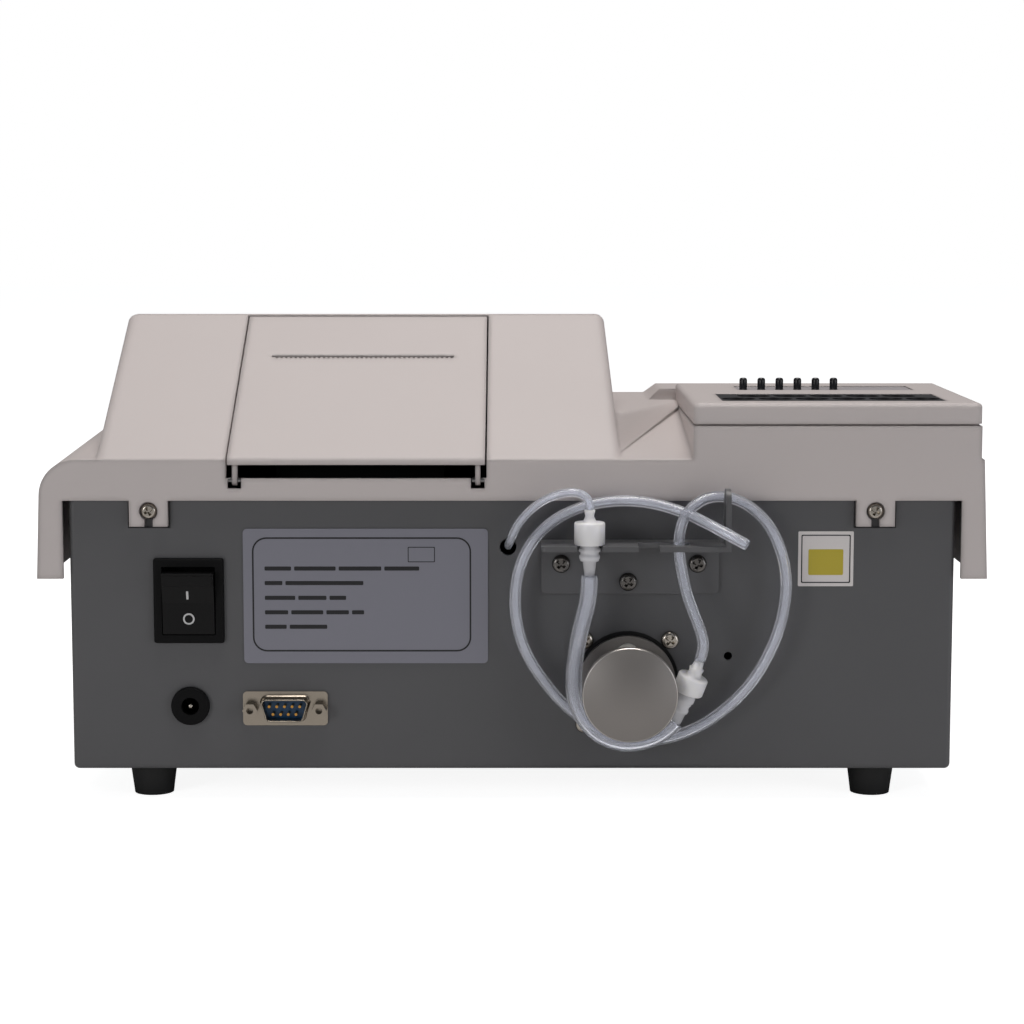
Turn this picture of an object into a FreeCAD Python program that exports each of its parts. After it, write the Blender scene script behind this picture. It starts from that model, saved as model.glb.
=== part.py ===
import FreeCAD
import Part
import Sketcher

import math
import os
import re

# Bench chemistry analyzer, millimetres. +Z is up, the rear panel faces +Y, and the origin is on
# the table under the middle of the case. Reach means a distance rearward of the rear panel's face.
# A cutting tool goes on 1 mm past what it cuts.

# Driving dimensions. Each row is one cell of the sheet "sizes".
SIZES = {
    # case
    "case_width": 342.8, "case_depth": 286.0, "pump_reach": 26.0, "wall_step": 2.4, "shell_wall": 2.4,
    "side_draft": 1.7, "skirt_bottom": 82.5, "ledge_top": 125.6, "ledge_rise": 1.8,
    "shoulder_radius": 13.0, "nose_top": 80.0, "nose_bottom": 15.0, "nose_depth": 40.0,
    # printer housing
    "housing_inset": 21.2, "ridge_rise": 48.4, "ridge_width": 7.0, "ramp_angle": 28.7,
    "housing_radius": 3.5,
    # incubator side
    "incubator_inset": 2.8, "incubator_width": 103.4, "valley_width": 25.9, "housing_draft": 3.5,
    "shoulder_over": 6.2, "shoulder_run": 4.5, "shoulder_rise": 18.1, "deck_rise": 13.8,
    "rim_rise": 12.2, "saddle_rise": 12.4, "deck_front_reach": 135.0, "incubator_depth": 105.6,
    "saddle_depth": 98.4, "deck_near": 27.4, "deck_far": 93.0,
    # incubator cover, wells and keys
    "plate_inset": 11.0, "plate_length": 81.3, "well_inset": 7.0, "label_inset": 14.3,
    "label_length": 67.7, "key_inset": 2.8, "block_over": 3.0, "lid_gap": 0.8, "lid_height": 7.4,
    "lid_radius": 1.5, "plate_rear": 9.0, "plate_front": 44.0, "plate_sink": 0.15, "plate_thick": 3.05,
    "well_radius": 6.2, "well_pitch": 13.5, "well_rear_row": 21.6, "well_front_row": 35.5,
    "well_depth": 34.0, "block_height": 38.0, "block_post": 4.0, "block_post_inset": 7.0,
    "plate_fit": 0.1, "lid_foot_inset": 1.0, "key_radius": 1.5, "key_pitch": 6.98, "key_row": 71.6,
    "key_top": 150.2, "key_travel": 1.5, "key_gap": 0.2, "key_collar": 1.5, "key_collar_gap": 0.1,
    "key_collar_lip": 1.2, "key_switch_gap": 0.3, "key_switch_height": 1.8, "key_switch_width": 4.8,
    "key_switch_length": 6.0, "key_board_left": 4.0, "key_board_right": 0.5, "key_board_over": 3.0,
    "key_leg": 1.5, "key_leg_ahead": 1.0, "key_leg_left": 8.0, "key_leg_right": 2.2, "label_fit": 0.2,
    "label_front": 86.0, "label_rear": 64.0, "label_sink": 0.8, "label_thick": 0.4,
    # printer
    "door_inset": 49.0, "door_width": 92.7, "door_end_gap": 1.2, "slit_left_inset": 12.4,
    "slit_right_inset": 10.9, "slit_drop": 30.4, "hinge_drop": 7.6, "ear_notch_drop": 10.4,
    "sill_drop": 6.7, "roll_ahead": 29.7, "roll_clear": 1.2, "door_gap": 0.6, "door_thick": 2.4,
    "door_lip": 1.8, "hinge_sink": 3.2, "ear_radius": 1.9, "ear_width": 4.2, "ear_wall": 1.8,
    "hinge_pin_radius": 1.0, "slit_width": 1.2, "tooth_pitch": 1.8, "tooth_depth": 0.7,
    "roll_radius": 18.0, "roll_width": 57.0, "roll_core": 6.5, "roll_gap": 0.4, "platen_radius": 4.0,
    "platen_shaft": 1.5, "platen_gap": 1.0, "platen_margin": 5.0, "bearing_thick": 3.0,
    "bearing_half": 3.5, "bay_rear_rise": 8.0, "bay_front_rise": 18.0, "bay_floor": 2.0,
    "bay_wall": 2.4, "bay_side_wall": 1.6, "bay_side_gap": 0.8, "cheek": 4.0, "bay_leg": 8.0,
    "bay_leg_half": 16.0, "mechanism_gap": 3.0, "mechanism_depth": 18.0, "mechanism_run": 21.0,
    "mechanism_margin": 3.0, "mechanism_ahead": 1.0,
    # tray and feet
    "tray_gap": 11.4, "foot_side": 27.0, "wall_drop": 14.7, "panel_lap": 3.5, "sheet": 1.5,
    "sheet_radius": 2.0, "foot_height": 12.0, "foot_top": 8.8, "foot_tip": 7.2, "foot_inset": 17.0,
    "foot_front_extra": 9.0, "foot_well": 4.0, "foot_head": 3.0, "foot_head_height": 2.0,
    "foot_screw_end": 3.0, "side_top": 88.0, "front_top": 60.0,
    # case screws
    "tab_inset": 29.1, "tab_drop": 24.1, "tab_screw_drop": 18.6, "tab_width": 13.8, "tab_gap": 0.7,
    "case_screw_radius": 1.5, "case_screw_head": 2.9, "case_recess": 3.4, "case_screw_sink": 2.2,
    # pump
    "pump_place": -41.8, "pump_height": 44.3, "pump_opening": 18.75, "motor_size": 42.3,
    "motor_length": 34.0, "motor_pitch": 15.5, "motor_shaft": 2.5, "rear_disc": 17.5,
    "rear_disc_start": 1.6, "rear_disc_thick": 2.4, "front_cap": 17.0, "front_cap_thick": 3.0,
    "roller_radius": 4.3, "roller_circle": 10.6, "roller_pin": 1.5, "roller_gap": 0.3,
    "running_gap": 0.05, "motor_corner": 3.0, "motor_pilot": 11.0, "motor_bore": 20.0,
    "thread_extra": 2.0, "hub_radius": 4.5, "hub_length": 3.0, "cap_skin": 1.0, "cap_edge": 0.5,
    # tube bracket
    "bracket_right": -10.5, "bracket_left": -74.6, "bracket_bottom": 77.0, "bracket_top": 96.5,
    "bracket_sheet": 1.9, "flange_reach": 20.0, "horn_top": 116.5, "horn_start": 9.4,
    "notch_place": -27.6, "notch_width": 9.0, "slot_right": -44.8, "slot_mouth": 7.4,
    "slot_left": -63.5, "slot_start": 8.6, "slot_width": 6.8, "bracket_corner": 2.0,
    "flange_corner": 1.5, "horn_corner": 4.0, "horn_offset": 1.0, "notch_start": 14.0,
    # rear panel fittings
    "rocker_inset": 43.1, "serial_offset": 34.5, "rocker_height": 74.3, "bezel_width": 25.5,
    "bezel_height": 31.0, "bezel_proud": 2.0, "paddle_width": 18.7, "paddle_height": 23.0,
    "rocker_tilt": 9.0, "jack_height": 35.6, "jack_radius": 7.0, "jack_bore": 3.2, "jack_pin": 1.0,
    "serial_height": 34.7, "serial_width": 30.8, "serial_tall": 12.5, "serial_flange": 0.8,
    "hood_top": 8.5, "hood_bottom": 7.1, "hood_half": 4.2, "hood_proud": 6.0, "hood_wall": 0.5,
    "hood_gap": 1.1, "insert_proud": 0.5, "insert_depth": 6.0, "contact_pitch": 2.77,
    "contact_row": 1.42, "contact_radius": 0.5, "contact_proud": 5.0, "contact_depth": 9.0,
    "jackscrew_pitch": 24.99, "jackscrew_radius": 2.75, "jackscrew_proud": 4.8, "jackscrew_depth": 4.0,
    "jackscrew_thread": 1.25, "jack_proud": 2.0, "jack_collar": 1.0, "jack_body": 12.0,
    "jack_hole": 8.0, "rating_left": 8.7, "rating_right": 97.2, "rating_bottom": 51.3,
    "rating_top": 100.5, "rating_thick": 0.5, "label_place": -113.4, "label_height": 89.5,
    "label_size": 20.0, "sticker_thick": 0.2, "screw_radius": 1.5, "pan_head": 3.3, "pan_height": 1.9,
    "screw_grip": 6.0, "screw_rim": 0.6, "screw_shoulder": 0.94, "screw_crown": 0.64,
    "cross_floor": 0.35, "cross_length": 0.55, "cross_width": 0.13, "paddle_gap": 0.3,
    "paddle_swing": 0.9, "paddle_proud": 4.6, "paddle_valley": 3.4, "paddle_depth": 4.0,
    "paddle_sink": 0.5, "bezel_lip": 1.4, "bezel_end_lip": 1.6, "bezel_depth": 16.0,
    "bezel_hollow": 7.0, "bezel_corner": 1.0, "paddle_chamfer": 0.6, "paddle_foot": 4.0,
    "jack_edge": 0.8, "serial_corner": 1.5, "hood_corner": 0.8, "jackscrew_bore": 3.6,
    "tube_hole_place": 1.4, "tube_hole_height": 93.8, "tube_hole_radius": 3.0, "vent_place": -78.4,
    "vent_height": 53.9, "vent_radius": 1.5,
    # front
    "window_inset": 8.0, "niche_inset": 43.4, "niche_width": 42.0, "window_low": 22.0,
    "window_high": 128.0, "window_thick": 2.0, "niche_top": 74.0, "niche_depth": 30.0,
    "probe_radius": 0.8, "probe_length": 44.0, "probe_key_width": 26.0, "probe_key_height": 34.0,
    "probe_key_travel": 3.0, "lining_wall": 2.0, "probe_inset": 12.0, "probe_stub": 8.0,
    "probe_key_rise": 8.0, "probe_key_gap": 0.4, "probe_stop_lip": 2.0, "probe_stop_gap": 0.1,
    "probe_stop": 1.5, "probe_key_neck": 0.5, "probe_key_corner": 2.0, "window_margin": 3.0,
    "display_depth": 12.0, "lcd_inset": 5.0,
    # main board
    "board_right": 100.0, "board_left": -20.0, "board_front": -120.0, "board_rear": 20.0,
    "board_rise": 8.0, "board_thick": 1.6, "post_inset": 5.0, "post_radius": 3.0, "chip_place": 40.0,
    "chip_size": 28.0, "chip_thick": 3.0, "header_length": 35.0, "header_width": 12.0,
    "header_tall": 9.0, "coil_inset": 20.0, "coil_radius": 9.0, "coil_tall": 12.0,
    # optics
    "bench_left": -105.0, "bench_right": -45.0, "bench_front": -100.0, "bench_rear": -15.0,
    "bench_height": 42.0, "bench_wall": 2.0, "wheel_place": -57.0, "wheel_centre": 20.0,
    "wheel_radius": 17.5, "wheel_thick": 4.0, "wheel_slot": 10.0, "wheel_circle": 12.5,
    "port_radius": 3.5, "beam_radius": 3.0, "axle_radius": 2.5, "axle_depth": 11.0, "lamp_width": 24.0,
    "lamp_depth": 12.0, "lamp_height": 30.0, "bulb_radius": 4.0, "bulb_height": 12.0, "cell_size": 12.0,
    "cell_height": 48.0,
    # tube connectors
    "luer_nut": 5.5, "luer_nut_length": 8.5, "luer_barb_length": 4.0, "luer_barb_base": 2.2,
    "luer_barb_tip": 1.5, "luer_body": 4.0, "luer_body_length": 5.6, "luer_tail_length": 5.4,
    "luer_tail_tip": 1.8, "luer_tail_base": 2.6,
}

# Places that follow from the sizes. Each row is one cell of the sheet "places".
PLACES = {
    "panel_back": "(sizes.case_depth - sizes.pump_reach) / 2",
    "nose_front": "panel_back - sizes.case_depth",
    "wall_back": "panel_back + sizes.wall_step",
    "wall_inside": "wall_back - sizes.shell_wall",
    "side_half": "sizes.case_width / 2",
    "top_half": "side_half - sizes.side_draft",
    "ridge_top": "sizes.ledge_top + sizes.ridge_rise",
    "shoulder_top": "sizes.ledge_top + sizes.shoulder_rise",
    "deck_top": "sizes.ledge_top + sizes.deck_rise",
    "rim_top": "sizes.ledge_top + sizes.rim_rise",
    "saddle_top": "sizes.ledge_top + sizes.saddle_rise",
    "incubator_left": "sizes.incubator_inset - side_half",
    "incubator_right": "incubator_left + sizes.incubator_width",
    "shoulder_right": "incubator_right + sizes.shoulder_over",
    "housing_right": "side_half - sizes.housing_inset",
    "housing_left": "incubator_right + sizes.valley_width",
    "housing_foot": "housing_left - sizes.housing_draft * sizes.ledge_top / sizes.ridge_rise",
    "plate_left": "incubator_left + sizes.plate_inset",
    "plate_right": "plate_left + sizes.plate_length",
    "well_first": "plate_right - sizes.well_inset",
    "label_left": "incubator_left + sizes.label_inset",
    "label_right": "label_left + sizes.label_length",
    "key_first": "label_right - sizes.key_inset",
    "door_left": "housing_left + sizes.door_inset",
    "door_right": "door_left + sizes.door_width",
    "slit_left": "door_left + sizes.slit_left_inset",
    "slit_right": "door_right - sizes.slit_right_inset",
    "ramp_length": "sizes.ridge_rise / sin(sizes.ramp_angle)",
    "door_length": "ramp_length - sizes.door_end_gap",
    "slit_place": "door_length - sizes.slit_drop",
    "roll_place": "slit_place - sizes.roll_ahead",
    "roll_depth": "sizes.door_thick + sizes.roll_radius + sizes.roll_clear",
    "hinge_height": "sizes.ledge_top - sizes.hinge_drop",
    "ear_notch_bottom": "sizes.ledge_top - sizes.ear_notch_drop",
    "door_sill": "sizes.ledge_top - sizes.sill_drop",
    "shell_bottom": "sizes.ledge_top - sizes.wall_drop",
    "panel_top": "shell_bottom + sizes.panel_lap",
    "tab_bottom": "sizes.ledge_top - sizes.tab_drop",
    "tab_screw": "sizes.ledge_top - sizes.tab_screw_drop",
    "tray_half": "side_half - sizes.tray_gap",
    "tab_spread": "tray_half - sizes.tab_inset",
    "foot_spread": "tray_half - sizes.foot_side",
    "rocker_place": "tray_half - sizes.rocker_inset",
    "serial_place": "rocker_place - sizes.serial_offset",
    "window_right": "housing_right - sizes.window_inset",
    "window_left": "housing_left + sizes.window_inset",
    "niche_left": "sizes.niche_inset - side_half",
    "niche_right": "niche_left + sizes.niche_width",
    "ramp_run": "sizes.ridge_rise / tan(sizes.ramp_angle)",
    "ridge_back": "wall_back - ramp_run",
    "ridge_front": "ridge_back - sizes.ridge_width",
    "deck_front": "panel_back - sizes.deck_front_reach",
    "display_slope": "(ridge_top - sizes.nose_top) / (ridge_front - nose_front)",
    "deck_slope": "(shoulder_top - sizes.nose_top) / (deck_front - nose_front)",
    "display_angle": "atan(display_slope)",
    "slant_wall": "sizes.shell_wall / cos(display_angle)",
    "lid_bottom": "rim_top + sizes.lid_gap",
    "lid_top": "lid_bottom + sizes.lid_height",
    "lid_front": "wall_back - sizes.incubator_depth",
    "plate_top": "lid_top - sizes.plate_sink",
    "block_top": "plate_top - sizes.plate_thick",
    "block_bottom": "block_top - sizes.block_height",
    "tray_front": "nose_front + sizes.shell_wall + 2 * sizes.sheet",
    "floor_top": "sizes.foot_height + sizes.sheet",
    "panel_inside": "panel_back - sizes.sheet",
    "hinge_back": "wall_back - sizes.hinge_sink",
    "cap_back": "panel_back + sizes.pump_reach",
    "cap_front": "cap_back - sizes.front_cap_thick",
    "disc_front": "panel_back + sizes.rear_disc_start",
    "disc_back": "disc_front + sizes.rear_disc_thick",
}

doc = FreeCAD.newDocument("chemistry_analyzer")
Vector = FreeCAD.Vector
Rotation = FreeCAD.Rotation
sizes = doc.addObject("Spreadsheet::Sheet", "sizes")
places = doc.addObject("Spreadsheet::Sheet", "places")
sub_parts = []


def fill_sheets():
    """Write the driving dimensions as plain numbers, and the places as formulas on them."""
    for row, (alias, number) in enumerate(SIZES.items(), 1):
        sizes.set(f"A{row}", alias)
        sizes.set(f"B{row}", str(number))
        sizes.setAlias(f"B{row}", alias)
    for row, (alias, text) in enumerate(PLACES.items(), 1):
        places.set(f"A{row}", alias)
        places.set(f"B{row}", "=" + text)
        places.setAlias(f"B{row}", alias)
    doc.recompute()


def formula(text):
    """Name the sheet in front of each alias that a formula uses."""
    def with_sheet(match):
        word = match[0]
        if word in SIZES:
            return "sizes." + word
        return "places." + word if word in PLACES else word
    return re.sub(r"[a-z][a-z_]*", with_sheet, text)


def at(alias):
    """The number that a cell holds."""
    return float(sizes.get(alias) if alias in SIZES else places.get(alias))


def bind(item, path, text):
    item.setExpression(path, formula(text))


def keep(label, item):
    """List an object as a sub-part under its own name."""
    item.Label = label
    sub_parts.append(item)
    return item


def block(name, x, y, z):
    """A box, each span given as its low and high end."""
    item = doc.addObject("Part::Box", name)
    for size, axis, (low, high) in zip(("Length", "Width", "Height"), "xyz", (x, y, z)):
        bind(item, size, f"({high}) - ({low})")
        bind(item, f"Placement.Base.{axis}", low)
    return item


TURNS = {"X": Rotation(Vector(0, 1, 0), 90), "Y": Rotation(Vector(1, 0, 0), -90), "Z": Rotation()}


def put_on_axis(item, axis, centre, low):
    """Stand a round primitive on an axis: its centre in the other two directions, and its low end."""
    item.Placement = FreeCAD.Placement(Vector(), TURNS[axis])
    spots = list(centre)
    spots.insert("XYZ".index(axis), low)
    for letter, spot in zip("xyz", spots):
        bind(item, f"Placement.Base.{letter}", spot)


def rod(name, axis, centre, span, radius):
    item = doc.addObject("Part::Cylinder", name)
    bind(item, "Radius", radius)
    bind(item, "Height", f"({span[1]}) - ({span[0]})")
    put_on_axis(item, axis, centre, span[0])
    return item


def cone(name, axis, centre, span, radii):
    item = doc.addObject("Part::Cone", name)
    bind(item, "Radius1", radii[0])
    bind(item, "Radius2", radii[1])
    bind(item, "Height", f"({span[1]}) - ({span[0]})")
    put_on_axis(item, axis, centre, span[0])
    return item


def hexagon(name, axis, centre, span, radius):
    item = doc.addObject("Part::Prism", name)
    item.Polygon = 6
    bind(item, "Circumradius", radius)
    bind(item, "Height", f"({span[1]}) - ({span[0]})")
    put_on_axis(item, axis, centre, span[0])
    return item


def fuse(name, parts):
    item = doc.addObject("Part::MultiFuse", name)
    item.Shapes = parts
    item.Refine = True
    return item


def group(name, parts):
    """Separate like pieces that share one node."""
    item = doc.addObject("Part::Compound", name)
    item.Links = parts
    return item


def cut(name, base, tools):
    item = doc.addObject("Part::Cut", name)
    item.Base = base
    item.Tool = tools[0] if len(tools) == 1 else fuse(name + "_tools", tools)
    item.Refine = True
    return item


def rounded(name, base, radius, wanted):
    """Round the edges whose middle point and direction the test accepts."""
    doc.recompute()
    chosen = []
    for number, edge in enumerate(base.Shape.Edges, 1):
        middle = edge.valueAt((edge.FirstParameter + edge.LastParameter) / 2)
        along = edge.tangentAt((edge.FirstParameter + edge.LastParameter) / 2)
        if wanted(middle, along):
            chosen.append((number, radius, radius))
    item = doc.addObject("Part::Fillet", name)
    item.Base = base
    item.Edges = chosen
    return item


PLANES = {"YZ": Rotation(Vector(1, 1, 1), 120), "XZ": Rotation(Vector(1, 0, 0), 90), "XY": Rotation()}


def draw(sketch, points):
    """A closed outline of straight lines whose corners are bound to formulas."""
    count = len(points)
    turn = 2 * math.pi / count
    ring = [Vector(100 * math.cos(turn * step), 100 * math.sin(turn * step), 0) for step in range(count)]
    for step in range(count):
        sketch.addGeometry(Part.LineSegment(ring[step], ring[(step + 1) % count]))
    for step in range(count):
        sketch.addConstraint(Sketcher.Constraint("Coincident", step, 2, (step + 1) % count, 1))
    for step, corner in enumerate(points):
        for kind, text, start in zip(("DistanceX", "DistanceY"), corner, ring[step]):
            row = sketch.addConstraint(Sketcher.Constraint(kind, -1, 1, step, 1, start))
            sketch.setExpression(f"Constraints[{row}]", formula(text))


def outline(name, plane, points, offset="0"):
    """A sketch on a plane through the origin, or moved along that plane's own normal axis."""
    sketch = doc.addObject("Sketcher::SketchObject", name)
    sketch.Placement = FreeCAD.Placement(Vector(), PLANES[plane])
    bind(sketch, "Placement.Base." + {"YZ": "x", "XZ": "y", "XY": "z"}[plane], offset)
    draw(sketch, points)
    return sketch


def slab(name, plane, points, span):
    """An outline pushed from the low to the high end of a span across its plane."""
    low, high = span
    item = doc.addObject("Part::Extrusion", name)
    item.Base = outline(name + "_outline", plane, points, high if plane == "XZ" else low)
    item.DirMode = "Normal"
    item.Solid = True
    bind(item, "LengthFwd", f"({high}) - ({low})")
    return item


def body_plate(label, plane_role, offset, points, thickness, backwards=False):
    """A flat plate as a body: one sketch on an origin plane, padded by its thickness."""
    body = doc.addObject("PartDesign::Body", label + "_body")
    sketch = body.newObject("Sketcher::SketchObject", label + "_sketch")
    plane = [item for item in body.Origin.OriginFeatures if item.Role == plane_role][0]
    sketch.AttachmentSupport = [(plane, "")]
    sketch.MapMode = "FlatFace"
    bind(sketch, "AttachmentOffset.Base.z", offset)
    draw(sketch, points)
    pad = body.newObject("PartDesign::Pad", label + "_pad")
    pad.Profile = sketch
    pad.Reversed = backwards
    bind(pad, "Length", thickness)
    return body


def rectangle(x, y):
    return [(x[0], y[0]), (x[1], y[0]), (x[1], y[1]), (x[0], y[1])]


# Case form: the outside of the moulded shell, and the same form drawn in by the wall for its inside.

def case_form(name, inset, slant):
    """The shell's solid form with every face moved in by the inset."""
    half = f"side_half - {inset}"
    top = f"top_half - {inset}"
    ledge = f"ledge_top - {inset}"
    back = f"wall_back - {inset}"
    front = f"nose_front + {inset}"
    lower = doc.addObject("Part::Extrusion", name + "_lower")
    lower.Base = outline(name + "_section", "XZ", [
        (f"-({half})", "0"), (half, "0"), (half, "skirt_bottom"), (top, ledge),
        (f"-({top})", ledge), (f"-({half})", "skirt_bottom")], back)
    lower.DirMode = "Custom"
    lower.Solid = True
    bind(lower, "Dir.x", "0")
    bind(lower, "Dir.y", "-cos(ledge_rise)")
    bind(lower, "Dir.z", "sin(ledge_rise)")
    bind(lower, "LengthFwd", f"(({back}) - ({front})) / cos(ledge_rise)")
    radius = at("shoulder_radius") - (at("shell_wall") if inset == "shell_wall" else 0)
    shoulder = rounded(name + "_shoulder", lower, radius,
                       lambda middle, along: abs(along.y) > 0.9 and middle.x > 100 and middle.z > at("nose_top"))
    incubator = block(name + "_incubator", (f"incubator_left + {inset}", f"incubator_right - {inset}"),
                      (f"lid_front + {inset}", back), ("0", f"rim_top - {inset}"))
    saddle = slab(name + "_saddle", "YZ", [
        (back, "0"), (back, ledge), (f"wall_back - saddle_depth", f"saddle_top - {inset}"),
        ("deck_front", f"saddle_top - {inset}"), ("deck_front", "0")],
        (f"incubator_right - 1 - {inset}", f"housing_left + 5 + {inset}"))
    terrace = slab(name + "_terrace", "XZ", [
        (f"incubator_left + {inset}", "0"), (f"shoulder_right + shoulder_run - {inset}", "0"),
        (f"shoulder_right + shoulder_run - {inset}", f"deck_top - {inset}"),
        (f"shoulder_right - {inset}", f"shoulder_top - {inset}"),
        (f"incubator_left + {inset}", f"shoulder_top - {inset}")],
        (front, f"lid_front - {inset}"))
    deck = doc.addObject("Part::Loft", name + "_deck")
    deck.Sections = [
        outline(name + "_deck_near", "YZ", [
            (front, "0"), (front, f"deck_top - {inset}"), ("wall_back - deck_near", f"deck_top - {inset}"),
            (back, ledge), (back, "0")], f"housing_left + 4 + {inset}"),
        outline(name + "_deck_far", "YZ", [
            (front, "0"), (front, f"deck_top - {inset}"), ("wall_back - deck_far", f"deck_top - {inset}"),
            ("wall_back - deck_far + 6", f"saddle_top - {inset}"), ("wall_back - deck_far + 6", "0")],
            f"incubator_right + {inset}")]
    deck.Solid = True
    deck.Ruled = True
    raised = fuse(name + "_raised", [shoulder, incubator, saddle, terrace, deck])
    slope = slab(name + "_slope", "YZ", [
        ("nose_front - 20", f"nose_top - {slant} - 20 * deck_slope"),
        ("deck_front + 20", f"shoulder_top - {slant} + 20 * deck_slope"),
        ("deck_front + 20", "ridge_top + 50"), ("nose_front - 20", "ridge_top + 50")],
        ("-side_half - 20", "side_half + 20"))
    sloped = cut(name + "_sloped", raised, [slope])
    housing = slab(name + "_housing", "YZ", [
        (front, "0"), (back, "0"), (back, ledge), (f"ridge_back", f"ridge_top - {slant}"),
        (f"ridge_front", f"ridge_top - {slant}"), (front, f"nose_top - {slant} + {inset} * display_slope")],
        (f"housing_foot + {inset}", f"housing_right - {inset}"))
    draft = slab(name + "_draft", "XZ", [
        (f"housing_foot + {inset} - 1", "0"), (f"housing_foot + {inset}", "0"),
        (f"housing_left + housing_draft + {inset}", "ridge_top"),
        (f"housing_left + housing_draft + {inset}", "ridge_top + 9"),
        (f"housing_foot + {inset} - 1", "ridge_top + 9")],
        ("nose_front - 1", "wall_back + 1"))
    housing = cut(name + "_housing_drawn", housing, [draft])
    if inset == "0":
        housing = rounded(name + "_housing_round", housing, at("housing_radius"),
                          lambda middle, along: middle.z > at("nose_top") - 5
                           and middle.y < at("wall_back") - 1)
    return fuse(name, [sloped, housing])


def upper_shell():
    outside = case_form("case_outside", "0", "0")
    inside = case_form("case_inside", "shell_wall", "slant_wall")
    hollow = cut("case_hollow", outside, [inside])
    under_rear = block("under_rear", ("-side_half - 20", "side_half + 20"),
                       ("nose_front + nose_depth", "wall_back + 20"), ("-10", "skirt_bottom"))
    under_nose = block("under_nose", ("-side_half - 20", "side_half + 20"),
                       ("nose_front - 20", "wall_back + 20"), ("-10", "nose_bottom"))
    panel_way = block("panel_way", ("-tray_half - 2", "tray_half + 2"),
                      ("panel_back - 10", "wall_back + 20"), ("skirt_bottom - 1", "shell_bottom"))
    tools = [under_rear, under_nose, panel_way]
    # Opening under the printer door, its sill and the two notches for the ears
    tools.append(slab("door_way", "YZ", [
        ("wall_back + 1", "door_sill"), ("wall_back + 1", "ledge_top + 20"),
        ("wall_back - 20", "ledge_top + 30"),
        ramp_point("door_length + door_gap", "-9"), ramp_point("door_length + door_gap", "9"),
        ("wall_back - shell_wall - 4", "door_sill")],
        ("door_left - door_gap", "door_right + door_gap")))
    for side, low in (("right", "door_right - ear_width - 0.9"), ("left", "door_left + 0.1")):
        tools.append(block("ear_notch_" + side, (low, f"{low} + ear_width + 0.8"),
                           ("wall_back - shell_wall - 1", "wall_back + 1"), ("ear_notch_bottom", "door_sill + 1")))
    # Opening under the incubator cover
    tools.append(block("cover_way", ("plate_left - block_over - 1", "plate_right + block_over + 1"),
                       ("wall_back - label_front - 2", "panel_back - plate_rear + block_over + 1"),
                       ("rim_top - 10", "rim_top + 10")))
    # Display opening, square to the sloped front of the housing
    low = "window_low + window_margin"
    high = "window_high - window_margin"
    tools.append(slab("display_way", "YZ", [
        slope_point(low, "-display_depth"), slope_point(high, "-display_depth"),
        slope_point(high, "display_depth"), slope_point(low, "display_depth")],
        ("window_left + window_margin", "window_right - window_margin")))
    # Niche for the sample tube
    tools.append(block("niche_way", ("niche_left", "niche_right"), ("nose_front - 1", "nose_front + shell_wall + 1"),
                       ("nose_bottom - 1", "niche_top")))
    shell = cut("shell_open", hollow, tools)
    # Screw tabs that hang into the rear panel
    tabs = []
    for side, sign in (("right", ""), ("left", "-")):
        centre = f"{sign}tab_spread"
        tab = block("tab_" + side, (f"{centre} - tab_width / 2", f"{centre} + tab_width / 2"),
                    ("panel_inside", "wall_back"), ("tab_bottom", "shell_bottom + 1.7"))
        recess = rod("tab_recess_" + side, "Y", (centre, "tab_screw"),
                     ("wall_back - 2.2", "wall_back + 1"), "case_recess")
        slot = block("tab_slot_" + side,
                     (f"{centre} - case_screw_radius - 0.1", f"{centre} + case_screw_radius + 0.1"),
                     ("panel_inside - 1", "wall_back + 1"), ("tab_bottom - 1", "tab_screw"))
        hole = rod("tab_hole_" + side, "Y", (centre, "tab_screw"), ("panel_inside - 1", "wall_back + 1"),
                   "case_screw_radius + 0.1")
        tabs.append(cut("tab_cut_" + side, tab, [recess, slot, hole]))
    # Bosses for the two hinge pins
    bosses = []
    bores = []
    for side, low, high in (("right", "door_right + door_gap", "door_right + 6"),
                            ("left", "door_left - 6", "door_left - door_gap")):
        bosses.append(block("hinge_boss_" + side, (low, high), ("hinge_back - 3", "wall_inside"),
                            ("hinge_height - 3", "ledge_top - 1")))
        bores.append(rod("hinge_bore_" + side, "X", ("hinge_back", "hinge_height"),
                         (f"{low} - 2", f"{high} + 2"), "hinge_pin_radius"))
    keep("upper_shell", cut("upper_shell", fuse("shell_whole", [shell] + tabs + bosses), bores))


# Folded sheet tray with the rear panel

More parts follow.
